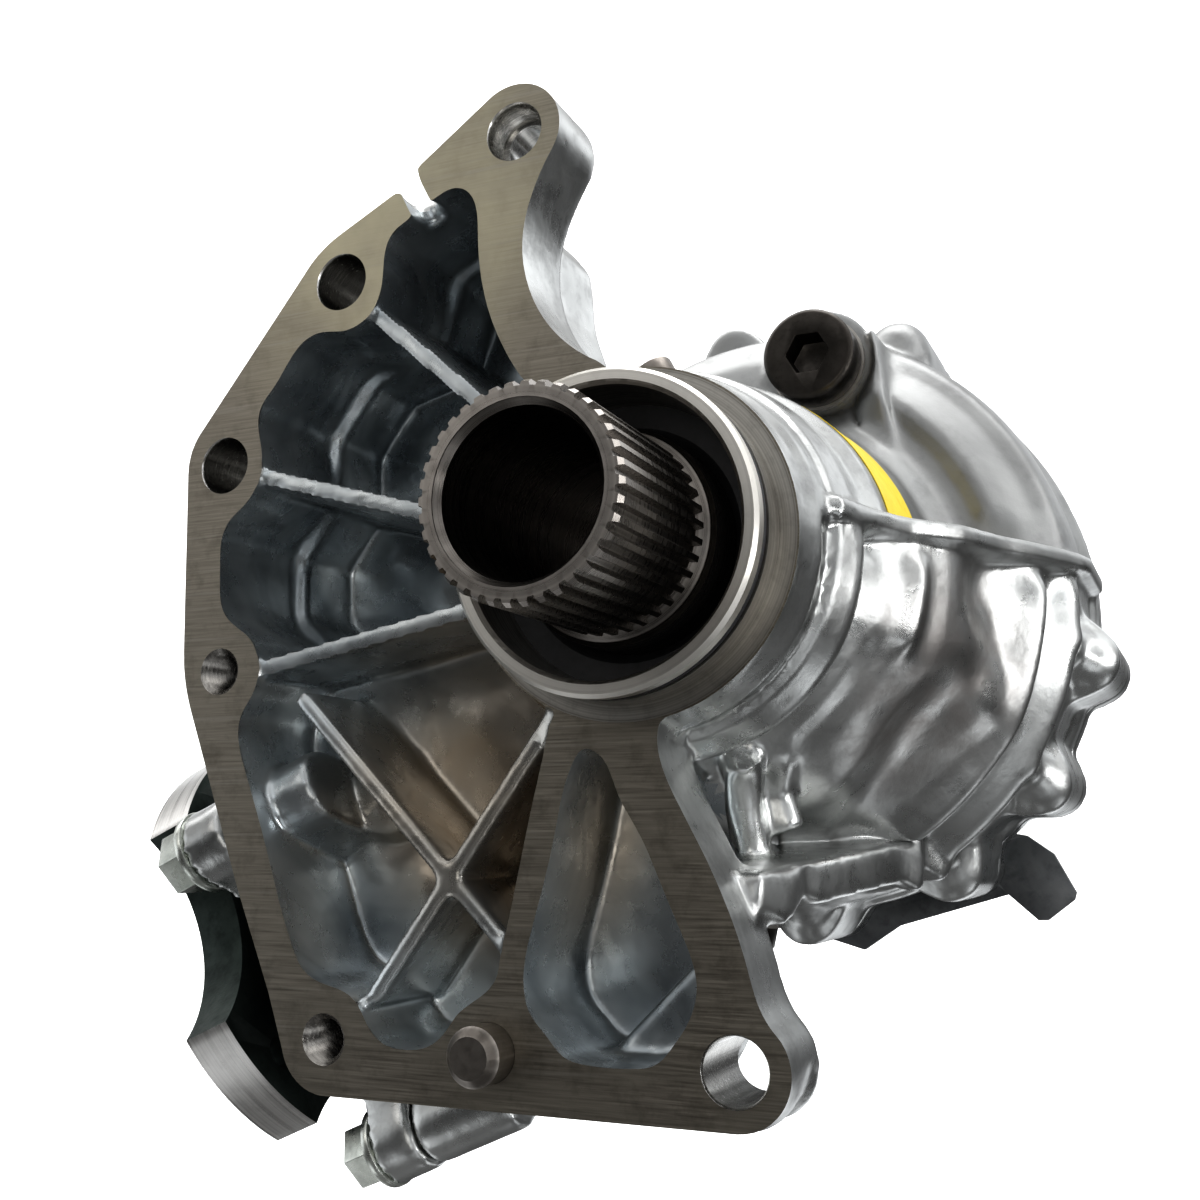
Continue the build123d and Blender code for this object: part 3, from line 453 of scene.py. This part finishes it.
def machined_face():
    m = Mat("machined_face")
    v = m.coords()
    big, mid = m.noise(v, 28, 4, 0.6), m.noise(v, 160, 4, 0.65)
    s1 = m.noise(m.coords((60, 60, 1900), (0, 38, 0)), 1.0, 3, 0.6)
    s2 = m.noise(m.coords((50, 50, 2300), (0, -52, 0)), 1.0, 3, 0.6)
    s3 = m.noise(m.coords((18, 18, 700), (0, 61, 0)), 1.0, 2, 0.6)
    scr = m.mix(m.ramp(big, [(0.42, 0.0), (0.58, 1.0)]), s1, s2)
    col = m.mix(m.ramp(scr, [(0.30, 0.0), (0.70, 1.0)]), (0.185, 0.167, 0.138), (0.330, 0.303, 0.255))
    col = m.mix(m.ramp(mid, [(0.5, 0.0), (0.75, 0.6)]), col, (0.125, 0.110, 0.090))
    gold = m.math("MULTIPLY", m.near((-60, 0, 85), 15, 62), m.ramp(big, [(0.3, 0.3), (0.65, 0.95)]))
    col = m.mix(m.math("MULTIPLY", gold, 0.8), col, (0.60, 0.555, 0.40))
    lines = m.ramp(s3, [(0.60, 0.0), (0.66, 1.0)])
    col = m.mix(m.math("MULTIPLY", lines, 0.30), col, (0.36, 0.34, 0.30))
    rough = m.ramp(scr, [(0.2, 0.34), (0.8, 0.52)])
    n = m.bump(scr, 0.45, 0.06)
    n = m.bump(mid, 0.22, 0.14, n)
    return m.done(col, rough, n)


def turned(name, a, b, rough, axis="Y", rings=1500, painted_recess_shade=0.0):
    """Turned metal: fine rings round an axis, from noise stretched along the turn."""
    m = Mat(name)
    v = m.coords()
    s = m.sep()
    big, mid = m.noise(v, 40, 3, 0.6), m.noise(v, 260, 4, 0.65)
    comb = m.t.nodes.new("ShaderNodeCombineXYZ")
    if axis == "Y":
        rad = m.math("SQRT", m.math("ADD", m.math("MULTIPLY", s[0], s[0]), m.math("MULTIPLY", s[2], s[2])))
        m.link(s[1], comb.inputs[1])
    else:
        n1 = m.t.nodes.new("ShaderNodeVectorMath")
        n1.operation = "SUBTRACT"
        m.link(m.tc.outputs["Object"], n1.inputs[0])
        n1.inputs[1].default_value = OP * MM
        dt = m.t.nodes.new("ShaderNodeVectorMath")
        dt.operation = "DOT_PRODUCT"
        m.link(n1.outputs[0], dt.inputs[0])
        dt.inputs[1].default_value = D
        ln = m.t.nodes.new("ShaderNodeVectorMath")
        ln.operation = "LENGTH"
        m.link(n1.outputs[0], ln.inputs[0])
        al = dt.outputs["Value"]
        rad = m.math("SQRT", m.math("SUBTRACT", m.math("MULTIPLY", ln.outputs["Value"], ln.outputs["Value"]), m.math("MULTIPLY", al, al)))
        m.link(al, comb.inputs[1])
    m.link(rad, comb.inputs[0])
    r = m.noise(comb.outputs[0], rings, 2, 0.6)
    col = m.mix(m.ramp(r, [(0.3, 0.0), (0.7, 1.0)]), a, b)
    col = m.mix(m.ramp(mid, [(0.5, 0.0), (0.75, 0.4)]), col, tuple(x * 0.55 for x in a))
    col = m.mix(m.math("MULTIPLY", m.edges(0.51, 0.58), 0.6), col, tuple(min(1, x * 1.5 + 0.05) for x in b))
    # painted shade: the colour darkens further into a hole, where shade falls
    if painted_recess_shade:
        col = m.mix(m.math("MULTIPLY", m.rng(s[1], 0.004, 0.034), painted_recess_shade), col, tuple(x * 0.12 for x in a))
    n = m.bump(r, 0.25, 0.03)
    n = m.bump(big, 0.10, 0.4, n)
    return m.done(col, m.ramp(r, [(0.2, rough - 0.06), (0.8, rough + 0.08)]), n)


def steel(name, a, b, rough, grain=420, edge=0.5, metal=1.0, bump=0.12, coat=0.0):
    m = Mat(name)
    v = m.coords()
    big, mid, fine = m.noise(v, 45, 4, 0.6), m.noise(v, grain, 4, 0.65), m.noise(v, grain * 3.2, 2, 0.5)
    col = m.mix(m.ramp(big, [(0.32, 0.0), (0.68, 1.0)]), a, b)
    col = m.mix(m.ramp(mid, [(0.5, 0.0), (0.78, 0.5)]), col, tuple(x * 0.5 for x in a))
    col = m.mix(m.math("MULTIPLY", m.edges(0.52, 0.60), edge), col, tuple(min(1, x * 1.5 + 0.12) for x in b))
    n = m.bump(mid, 0.3, bump)
    n = m.bump(fine, 0.2, bump * 0.3, n)
    return m.done(col, m.ramp(mid, [(0.25, max(0.05, rough - 0.08)), (0.8, rough + 0.12)]), n, metal=metal, coat=coat)


M_CAST = cast_bright()
M_POCKET = pocket_dark()
M_FACE = machined_face()
M_PILOT = turned("machined_pilot", (0.29, 0.275, 0.25), (0.60, 0.58, 0.54), 0.34)
# the bore and thread finishes darken further into their holes as painted shade
M_BORE = turned("machined_bore", (0.40, 0.39, 0.37), (0.72, 0.71, 0.68), 0.22, painted_recess_shade=0.3)
M_THREAD = turned("tapped_thread", (0.17, 0.16, 0.15), (0.40, 0.385, 0.36), 0.24, painted_recess_shade=0.55)
M_SPLINE = turned("spline_steel", (0.095, 0.086, 0.078), (0.27, 0.25, 0.23), 0.28)
M_BLACK = steel("black_plug", (0.040, 0.036, 0.032), (0.095, 0.086, 0.078), 0.38, 500, 0.40)
M_FORGE = steel("forged_iron", (0.010, 0.016, 0.014), (0.045, 0.058, 0.052), 0.50, 260, 0.25, 0.9, 0.45)
M_RIM = turned("turned_rim", (0.30, 0.29, 0.28), (0.62, 0.61, 0.59), 0.30, "pin")
M_ZINC = steel("zinc_bolt", (0.46, 0.49, 0.44), (0.74, 0.76, 0.70), 0.28, 380, 0.5)
M_SHEET = steel("sheet_steel", (0.085, 0.09, 0.095), (0.19, 0.195, 0.20), 0.50, 300, 0.4, 0.9)
M_PIN = steel("pin_steel", (0.10, 0.09, 0.08), (0.26, 0.235, 0.21), 0.36, 420, 0.6)
M_BEARING = steel("bearing_steel", (0.48, 0.48, 0.48), (0.66, 0.66, 0.66), 0.20, 700, 0.3, 1.0, 0.02)
M_CAGE = steel("cage_steel", (0.34, 0.33, 0.31), (0.5, 0.48, 0.45), 0.36, 420, 0.4)
M_GEAR = steel("gear_steel", (0.16, 0.155, 0.15), (0.34, 0.33, 0.32), 0.30, 420, 0.6)
M_RUBBER = steel("seal_rubber", (0.010, 0.010, 0.011), (0.026, 0.026, 0.028), 0.55, 600, 0.15, 0.0, 0.05)
M_SOFT = steel("soft_washer", (0.28, 0.26, 0.24), (0.5, 0.48, 0.45), 0.42, 500, 0.4)


def label_mat():
    m = Mat("label_yellow")
    v = m.coords()
    big, mid = m.noise(v, 60, 3, 0.6), m.noise(v, 420, 4, 0.6)
    col = m.mix(m.ramp(big, [(0.3, 0.0), (0.7, 1.0)]), (0.86, 0.60, 0.02), (0.95, 0.74, 0.05))
    col = m.mix(m.ramp(mid, [(0.55, 0.0), (0.8, 0.35)]), col, (0.55, 0.40, 0.05))
    n = m.bump(mid, 0.2, 0.05)
    return m.done(col, m.ramp(mid, [(0.3, 0.38), (0.7, 0.52)]), n, metal=0.0)


M_LABEL = label_mat()
NODE_MAT = {"input_shaft": M_SPLINE, "filler_plug": M_BLACK, "drain_plug": M_BLACK, "companion_flange": M_FORGE, "cover_bolts": M_ZINC, "stay_bolts": M_ZINC,
            "housing_bolts": M_ZINC, "stay_plate": M_SHEET, "dust_deflector": M_SHEET, "dowel_pin": M_PIN, "label": M_LABEL, "drive_pinion": M_GEAR,
            "ring_gear": M_GEAR, "ring_gear_bolts": M_PIN, "pinion_nut": M_PIN, "pinion_washer": M_PIN, "pinion_spacer": M_PIN, "pinion_shim": M_BEARING,
            "breather": M_PIN, "filler_washer": M_SOFT, "drain_washer": M_SOFT, "main_case": M_CAST, "end_cover": M_CAST, "pinion_housing": M_CAST}
for n, o in NODES.items():
    mt = NODE_MAT.get(n)
    if mt is None:
        mt = M_CAGE if n.endswith("_cage") else M_RUBBER if ("seal" in n or "oring" in n) else M_BEARING
    o.data.materials.clear()
    o.data.materials.append(mt)

# ------------------------------------------------------------------ main case: a soft casting, then its machining
HOLES = {"A": (-26.5, 95.5, 5.5), "B": (-71.6, 68.1, 6.5), "C": (-103.3, 27.7, 6.5),
         "D": (-102.1, -21.5, 4.25), "E": (-69.8, -101.7, 4.25), "F": (22.4, -102.2, 6.5)}


def cyl_y(x, z, r, y0, y1, n=40):
    bm = lathe_bm([(0, y0), (r, y0), (r, y1), (0, y1)], None, n)
    bmesh.ops.translate(bm, vec=Vector((x, 0, z)) * MM, verts=bm.verts)
    return bm


def front_stock():
    """The flange face pushed forwards, as the stock that the milling takes off."""
    bm = bmesh.new()
    bm.from_mesh(NODES["main_case"].data)
    bmesh.ops.remove_doubles(bm, verts=bm.verts, dist=2e-6)
    bm.faces.ensure_lookup_table()
    drop = [f for f in bm.faces if not (f.normal.y < -0.999 and abs(f.calc_center_median().y) < 2e-5)]
    bmesh.ops.delete(bm, geom=drop, context="FACES")
    got = bmesh.ops.extrude_face_region(bm, geom=bm.faces[:])
    moved = [g for g in got["geom"] if isinstance(g, bmesh.types.BMVert)]
    bmesh.ops.translate(bm, vec=(0, -4 * MM, 0), verts=moved)
    old = [v for v in bm.verts if v.co.y > -1e-4]
    bmesh.ops.translate(bm, vec=(0, 0.6 * MM, 0), verts=old)
    bmesh.ops.recalc_face_normals(bm, faces=bm.faces)
    return bm


def bell_arc(r, y, a0, a1, steps=24):
    return [Vector((*pol(r, a0 + (a1 - a0) * k / steps)[:1], y, pol(r, a0 + (a1 - a0) * k / steps)[1])) for k in range(steps + 1)]


extra = [front_stock()]
base = bmesh.new()
base.from_mesh(NODES["main_case"].data)
bmesh.ops.remove_doubles(base, verts=base.verts, dist=2e-6)
extra.append(base)
for k, (x, z, r) in HOLES.items():
    extra.append(cyl_y(x, z, r + 1.2, -4, {"A": 20, "B": 52, "C": 52, "D": 25, "E": 25, "F": 20}[k]))
extra.append(cyl_y(-29.8, -102.0, 7.2, -4, 17))
extra.append(lathe_bm([(0, -16), (34.2, -16), (34.2, 3), (34.2, 8), (0, 8)]))
extra.append(lathe_bm([(0, 6), (36, 6), (36, 17.5), (0, 17.5)]))
# cast rings and ridges on the bell, under the ledge
for a, s0 in ((-11, 0.0), (-35, -2.0), (-58, -3.0), (-87, -3.0)):    # webs that run forwards from the cover lobes
    q0, q1, q2 = pol(69.5, a + 4 + s0), pol(74.0, a + 2), pol(80.0, a)
    extra.append(rod_bm([(q0[0], 88, q0[1]), (q1[0], 101, q1[1]), (q2[0], 116, q2[1]), (q2[0], 124, q2[1])], [4.0, 6.0, 8.0, 8.2]))
for path, rad in (([(15, 30, -43), (12.5, 36, -52), (13, 40, -63)], 4.4), ([(21, 38, -41), (18, 43, -49), (20.5, 44, -58)], 3.8),
                  ([(33.5, 4, 6.6), (37.5, 15, 7.6), (41.0, 27, 8.2)], 2.4)):
    extra.append(rod_bm(path, rad))
CASE_SOFT = joined(extra, "main_case_body")
remeshed(CASE_SOFT, 0.9)


def window(a, a0, a1, soft=5.0):
    return np.clip((a - a0) / soft, 0, 1) * np.clip((a1 - a) / soft, 0, 1)


def sculpt(o):
    """Rings, hollows and swellings of the casting, pushed out of or into its skin (mm)."""
    me = o.data
    nv = len(me.vertices)
    co = np.zeros(nv * 3)
    me.vertices.foreach_get("co", co)
    co = co.reshape(-1, 3) / MM
    no = np.zeros(nv * 3, np.float32)
    me.vertex_normals.foreach_get("vector", no)
    no = no.reshape(-1, 3).astype(float)
    rr = np.hypot(co[:, 0], co[:, 2])
    an = np.degrees(np.arctan2(co[:, 2], co[:, 0]))
    rad = np.stack([co[:, 0] / rr, 0 * rr, co[:, 2] / rr], 1)
    facing = np.clip(((no * rad).sum(1) - 0.15) / 0.35, 0, 1) * (rr > 37.0) * (co[:, 1] > 2.0)
    push = np.zeros(nv)
    for y0, sig, amp, a0, a1 in RINGS:
        push += amp * np.exp(-((co[:, 1] - y0) / sig) ** 2) * window(an, a0, a1)
    for c, rho, amp in BLOBS:
        push += amp * np.exp(-((co - np.array(c)) ** 2).sum(1) / rho ** 2)
    out = co + rad * (push * facing)[:, None]
    front = np.clip((-no[:, 1] - 0.35) / 0.3, 0, 1) * (co[:, 1] > 12) * (rr > 30)
    lift = np.zeros(nv)
    for c, rho, amp in SWELLS:
        lift += amp * np.exp(-((co - np.array(c)) ** 2).sum(1) / rho ** 2)
    for R0, sig, amp, a0, a1 in FACE_RINGS:
        lift += amp * np.exp(-((rr - R0) / sig) ** 2) * window(an, a0, a1) * (co[:, 1] > 78)
    out[:, 1] -= lift * front
    me.vertices.foreach_set("co", (out * MM).astype(np.float32).ravel())
    me.update()


RINGS = [(5.5, 2.4, 0.8, -95, 8), (13.0, 2.0, -1.7, -95, 8), (21.5, 3.2, 2.3, -85, 8), (30.0, 2.6, -2.6, -80, 8), (41.0, 2.4, 2.4, -26, 3),
         (79.5, 3.4, 3.6, -66, 4), (87.0, 3.0, -2.4, -70, 4), (95.0, 3.0, 2.6, -72, 5), (103.5, 3.0, -2.2, -72, 3), (36, 3.0, -1.2, -60, -20)]
BLOBS = [((45.7, 58, -35.7), 13.0, -4.5), ((58, 71, -30), 8.5, 3.0), ((61, 66, -3), 8.0, -3.8), ((63, 72, -13), 6.0, -2.6), ((39, 62, -50), 10.0, -2.6),
         ((52, 60, -18), 6.5, 1.8)]
SWELLS = [((-72, 44, 36), 13, 5.0), ((-50, 46, 54), 11, 4.5), ((-68, 44, 4), 12, 4.5), ((-84, 44, 12), 7, 3.5), ((-46, 45, 20), 9, 3.0), ((-44, 46, 70), 7, 3.5),
          ((-84, 26, -40), 7, 3.0), ((-60, 26, -72), 8, 2.5), ((-44, 26, -30), 10, 2.0), ((-76, 26, -62), 6, 3.0)]
FACE_RINGS = [(63, 3.2, 2.4, 14, 62), (71.5, 2.5, -1.0, 14, 62)]
sculpt(CASE_SOFT)


def case_weight(p):
    x, y, z = p[:, 0], p[:, 1], p[:, 2]
    w = np.clip((y - 0.6) / 1.6, 0, 1)
    rr = np.hypot(x, z)
    w = np.where((rr < 36.9) & (y < 22), 0, w)
    w = np.where((rr < 42) & (y > 14), 0, w)                        # bearing seats
    q = p - np.array(OP)
    s = q @ np.array(D)
    rad = np.sqrt(np.maximum((q ** 2).sum(1) - s ** 2, 0))
    w = np.where((s > 60) & (rad < 48), 0, w)
    w = np.where((np.hypot(x - 17, z - 64) < 15.0) & (y > 84) & (y < 100), 0, w)
    return w


soften(CASE_SOFT, case_weight, 13, 0.5)
thinned(CASE_SOFT, 176000)
print("soft case faces", len(CASE_SOFT.data.polygons))
CASE_SOFT.data.materials.clear()
for mt in (M_CAST, M_POCKET, M_FACE, M_PILOT, M_BORE, M_THREAD):
    CASE_SOFT.data.materials.append(mt)


def tool(bms, mat, name):
    o = joined(bms, name)
    o.data.materials.append(mt_of[mat])
    return o


mt_of = {"face": M_FACE, "pilot": M_PILOT, "bore": M_BORE, "thread": M_THREAD}
# milling of the flange face, outside the pilot
boolean(CASE_SOFT, tool([lathe_bm([(34.6, -60), (260, -60), (260, 0.0), (34.6, 0.0)], None, 160)], "face", "mill"), "DIFFERENCE")
# turning of the pilot outside and its groove
boolean(CASE_SOFT, tool([lathe_bm([(33.0, -61), (36.6, -61), (36.6, 0.02), (33.0, 0.02), (33.0, -6.4), (30.9, -6.4), (30.9, -9.8), (33.0, -9.8), (33.0, -12.4), (32.2, -13.2), (29.0, -13.2), (29.0, -62), (32, -62)], None, 160)], "pilot", "turn"), "DIFFERENCE")
# boring
boolean(CASE_SOFT, tool([lathe_bm([(0, -30), (30.3, -30), (30.3, -13.0), (29.5, -12.2), (29.5, 13), (27.0, 13), (27.0, 17.9), (0, 17.9)], None, 160)], "pilot", "bore"), "DIFFERENCE")


def thread_bm(x, z, r0, r1, y0, y1, pitch=1.5):
    pts = [(0, y0), (r1 + 0.9, y0), (r1, y0 + 1.1)]
    y = y0 + 1.1
    while y + pitch < y1:
        pts += [(r0, y + pitch * 0.5), (r1, y + pitch)]
        y += pitch
    pts += [(r0, y1), (0, y1)]
    bm = lathe_bm(pts, None, 40)
    bmesh.ops.translate(bm, vec=Vector((x, 0, z)) * MM, verts=bm.verts)
    return bm


cuts, taps = [], []
for k, (x, z, r) in HOLES.items():
    if k in "DE":
        taps.append(thread_bm(x, z, r, 5.0, -0.6, 24))
    else:
        seat = 8.0 if k == "A" else 0.5
        big = 6.5 if k == "A" else r
        end = 60 if k in "BC" else 24
        bm = lathe_bm([(0, -1), (7.5, -1), (big, 0.5), (big, seat), (r, seat + 0.01 + (6.5 - r) * 0.2), (r, end), (0, end)], None, 56)
        bmesh.ops.translate(bm, vec=Vector((x, 0, z)) * MM, verts=bm.verts)
        cuts.append(bm)
cuts.append(cyl_y(-29.8, -102.0, 6.06, -1, 15.2))
boolean(CASE_SOFT, tool(cuts, "bore", "holes"), "DIFFERENCE")
boolean(CASE_SOFT, tool(taps, "thread", "taps"), "DIFFERENCE")
# faces of the pockets take the pocket material: their own blue-grey and brown colour, with painted shade deeper in
me = CASE_SOFT.data
names = [m.name if m else "" for m in me.materials]
print("case materials", names, "faces", len(me.polygons))
OUTLINE = [(-57.5, 84.0), (-38, 90), (-33, 84), (-30, 60), (-22, 42), (-8, 30), (0, 0), (-4, -34), (4, -44), (12, -66), (17, -84), (17, -94), (10, -106), (-60, -106), (-74, -96), (-100, -42), (-107, -20), (-107, 24), (-96, 40), (-82, 60)]


def inside(poly, x, z):
    ins = np.zeros(len(x), bool)
    n = len(poly)
    for i in range(n):
        x1, z1 = poly[i]
        x2, z2 = poly[(i + 1) % n]
        c = ((z1 > z) != (z2 > z)) & (x < (x2 - x1) * (z - z1) / (z2 - z1 + 1e-12) + x1)
        ins ^= c
    return ins


npoly = len(me.polygons)
cen = np.zeros(npoly * 3)
me.polygons.foreach_get("center", cen)
cen = cen.reshape(-1, 3) / MM
nor = np.zeros(npoly * 3)
me.polygons.foreach_get("normal", nor)
nor = nor.reshape(-1, 3)
idx = np.zeros(npoly, np.int32)
me.polygons.foreach_get("material_index", idx)
cast_i = names.index("cast_bright")
pock = (idx == cast_i) & inside(OUTLINE, cen[:, 0], cen[:, 2]) & (cen[:, 1] > 0.2) & (cen[:, 1] < 46.5 + 2.5 * (cen[:, 2] > -16)) & (np.hypot(cen[:, 0], cen[:, 2]) > 36)
behind = (nor[:, 1] > 0.3) & (cen[:, 1] > np.where(cen[:, 2] > -18, 49.0, 31.0))
idx[pock & ~behind] = names.index("pocket_dark")
me.polygons.foreach_set("material_index", idx)
thinned(CASE_SOFT, 198000)
smooth(CASE_SOFT, 38)
place(CASE_SOFT, "main_case")

# ------------------------------------------------------------------ other visible pieces
for node in ("pinion_housing", "end_cover"):
    o = clean_copy(node, node + "_body")
    remeshed(o, 1.2)
    if node == "pinion_housing":
        def wt(p):
            q = p - np.array(OP)
            s = q @ np.array(D)
            rad = np.sqrt(np.maximum((q ** 2).sum(1) - s ** 2, 0))
            w = np.where(rad < 44.6, 0.0, 1.0)
            w = np.where((s > 128.6), np.clip((rad - 41) / 3, 0, 1) * 0 + (rad < 42) * 1.0, w)
            return w * 0.9
    else:
        def wt(p):
            rr = np.hypot(p[:, 0], p[:, 2])
            w = np.where((rr < 38) | ((rr < 66.5) & (p[:, 1] < 139.8)), 0.0, 1.0)
            w = np.where((rr > 71) & (p[:, 1] > 146.8), 0.0, w)
            return w
    soften(o, wt, 14, 0.5)
    thinned(o, 50000)
    o.data.materials.clear()
    o.data.materials.append(M_CAST)
    smooth(o, 40)
    place(o, node)

for node, bev in (("companion_flange", 0.7), ("filler_plug", 0.5), ("stay_plate", 0.4), ("drain_plug", 0.4), ("housing_bolts", 0.35), ("cover_bolts", 0.35),
                  ("stay_bolts", 0.35), ("breather", 0.4), ("pinion_nut", 0.4)):
    o = crisp(node, node + "_body", bev)
    o.data.materials.clear()
    o.data.materials.append(NODE_MAT[node])
    if node == "companion_flange":
        o.data.materials.append(M_RIM)
        for p in o.data.polygons:
            q = p.center / MM - OP
            s = q.dot(D)
            rad = (q - D * s).length
            nn = Vector(p.normal)
            out = abs(nn.dot(D)) < 0.3 and nn.dot((q - D * s).normalized()) > 0.9
            if (rad > 57.6 and out) or (s > 160.4 and nn.dot(D) > 0.7):
                p.material_index = 1
        smooth(o, 30)
    place(o, node)

# ------------------------------------------------------------------ studio
def cyclorama():
    bm = bmesh.new()
    prof = [(-2.6, 0.0), (1.1, 0.0)]
    for k in range(1, 17):
        a = math.radians(90 * k / 16)
        prof.append((1.1 + 0.9 * math.sin(a), 0.9 - 0.9 * math.cos(a)))
    prof.append((2.0, 3.2))
    z0 = cad_lo.z - 0.03
    rows = [[bm.verts.new((x, y, z0 + z)) for y, z in prof] for x in (-5.0, 4.0)]
    for i in range(len(prof) - 1):
        f = bm.faces.new((rows[0][i], rows[1][i], rows[1][i + 1], rows[0][i + 1]))
        f.smooth = True
    o = obj_from_bm(bm, "studio_floor")
    m = Mat("studio_paper")
    v = m.coords()
    m.done(m.mix(m.noise(v, 3, 2), (0.86, 0.86, 0.86), (0.90, 0.90, 0.90)), 0.9, None, metal=0.0, spec=0.1)
    m.b.inputs["Emission Color"].default_value = (1, 1, 1, 1)
    m.b.inputs["Emission Strength"].default_value = 0.62
    o.data.materials.append(m.m)
    o.visible_glossy = False
    o.visible_diffuse = False
    return o


cyclorama()


def area(name, loc, target, size, power, color=(1, 1, 1), size_y=None):
    l = bpy.data.lights.new(name, "AREA")
    l.energy, l.color = power, color
    l.shape = "RECTANGLE"
    l.size, l.size_y = size, size_y or size
    o = bpy.data.objects.new(name, l)
    o.location = loc
    o.rotation_mode = "QUATERNION"
    o.rotation_quaternion = (Vector(target) - Vector(loc)).to_track_quat("-Z", "Y")
    bpy.context.scene.collection.objects.link(o)
    return o


C = (0.0, 0.05, 0.0)
area("key_right", (1.1, 0.1, 0.45), C, 0.30, 2.4, (1.0, 1.0, 1.0), 0.9)
area("top", (0.1, 0.2, 1.2), C, 0.7, 2.6, (0.97, 0.99, 1.0))
area("front_left", (-0.8, -0.95, 0.5), C, 0.40, 0.60, (1.0, 0.97, 0.93))
area("front_right", (0.75, -0.85, 0.75), C, 0.25, 0.7, (1.0, 1.0, 1.0), 0.7)
area("front_low", (0.30, -1.1, -0.10), C, 0.40, 0.9, (1.0, 0.98, 0.94))
area("low_right", (0.8, -0.1, -0.10), (0.05, 0.08, -0.05), 0.5, 1.2, (1.0, 1.0, 1.0), 0.10)
area("backdrop", (-0.9, 0.75, 1.5), (-1.0, 2.0, 0.5), 2.6, 42)

w = bpy.data.worlds.new("studio")
bpy.context.scene.world = w
w.use_nodes = True
nt = w.node_tree
nt.nodes.clear()
wo = nt.nodes.new("ShaderNodeOutputWorld")
bg = nt.nodes.new("ShaderNodeBackground")
tc = nt.nodes.new("ShaderNodeTexCoord")
sp = nt.nodes.new("ShaderNodeSeparateXYZ")
rp = nt.nodes.new("ShaderNodeValToRGB")
mr = nt.nodes.new("ShaderNodeMapRange")
mr.inputs["From Min"].default_value, mr.inputs["From Max"].default_value = -1, 1
nt.links.new(tc.outputs["Generated"], sp.inputs[0])
nt.links.new(sp.outputs[2], mr.inputs[0])
nt.links.new(mr.outputs[0], rp.inputs[0])
for e, (p, c) in zip((rp.color_ramp.elements[0], rp.color_ramp.elements[1], rp.color_ramp.elements.new(0.5), rp.color_ramp.elements.new(0.62)),
                     ((0.0, 0.16), (1.0, 0.30), (0.5, 0.05), (0.62, 0.12))):
    e.position, e.color = p, (c, c, c, 1)
nz = nt.nodes.new("ShaderNodeTexNoise")
nz.name = "room_noise"
nz.noise_dimensions = "4D"
nz.inputs["W"].default_value = 1.3
nz.inputs["Scale"].default_value = 1.7
nz.inputs["Detail"].default_value = 1.0
nt.links.new(tc.outputs["Generated"], nz.inputs["Vector"])
r2 = nt.nodes.new("ShaderNodeValToRGB")
r2.name = "room_ramp"
r2.color_ramp.elements[0].position, r2.color_ramp.elements[0].color = 0.50, (0, 0, 0, 1)
r2.color_ramp.elements[1].position, r2.color_ramp.elements[1].color = 0.62, (1.12, 1.15, 1.18, 1)
nt.links.new(nz.outputs["Fac"], r2.inputs[0])
ad = nt.nodes.new("ShaderNodeMix")
ad.data_type, ad.blend_type = "RGBA", "ADD"
ad.name = "room_add"
ad.inputs[0].default_value = 1.0
nt.links.new(rp.outputs[0], ad.inputs[6])
nt.links.new(r2.outputs[0], ad.inputs[7])
lp = nt.nodes.new("ShaderNodeLightPath")
mx = nt.nodes.new("ShaderNodeMix")
mx.data_type = "RGBA"
nt.links.new(lp.outputs["Is Camera Ray"], mx.inputs[0])
nt.links.new(ad.outputs[2], mx.inputs[6])
mx.inputs[7].default_value = (0.88, 0.88, 0.88, 1)
nt.links.new(mx.outputs[2], bg.inputs[0])
bg.inputs[1].default_value = 1.0
nt.links.new(bg.outputs[0], wo.inputs[0])

# ------------------------------------------------------------------ camera
cam = bpy.data.cameras.new("camera")
co = bpy.data.objects.new("camera", cam)
bpy.context.scene.collection.objects.link(co)
cam.sensor_width, cam.sensor_fit = 36.0, "HORIZONTAL"
cam.lens = 1364.27 / 1200 * 36
cam.shift_x, cam.shift_y = -0.01314, 0.01737
cam.clip_start, cam.clip_end = 0.02, 30
right, up, back = Vector((0.9129, 0.4082, 0)), Vector((0.063, -0.1408, 0.988)), Vector((0.4033, -0.902, -0.1543))
back.normalize()
right = up.cross(back).normalized()
up = back.cross(right).normalized()
co.matrix_world = Matrix(((right.x, up.x, back.x, 0.109417), (right.y, up.y, back.y, -0.248611), (right.z, up.z, back.z, -0.058544), (0, 0, 0, 1)))
bpy.context.scene.camera = co
bpy.context.scene.view_settings.view_transform = "Standard"
bpy.context.scene.view_settings.look = "Medium High Contrast"
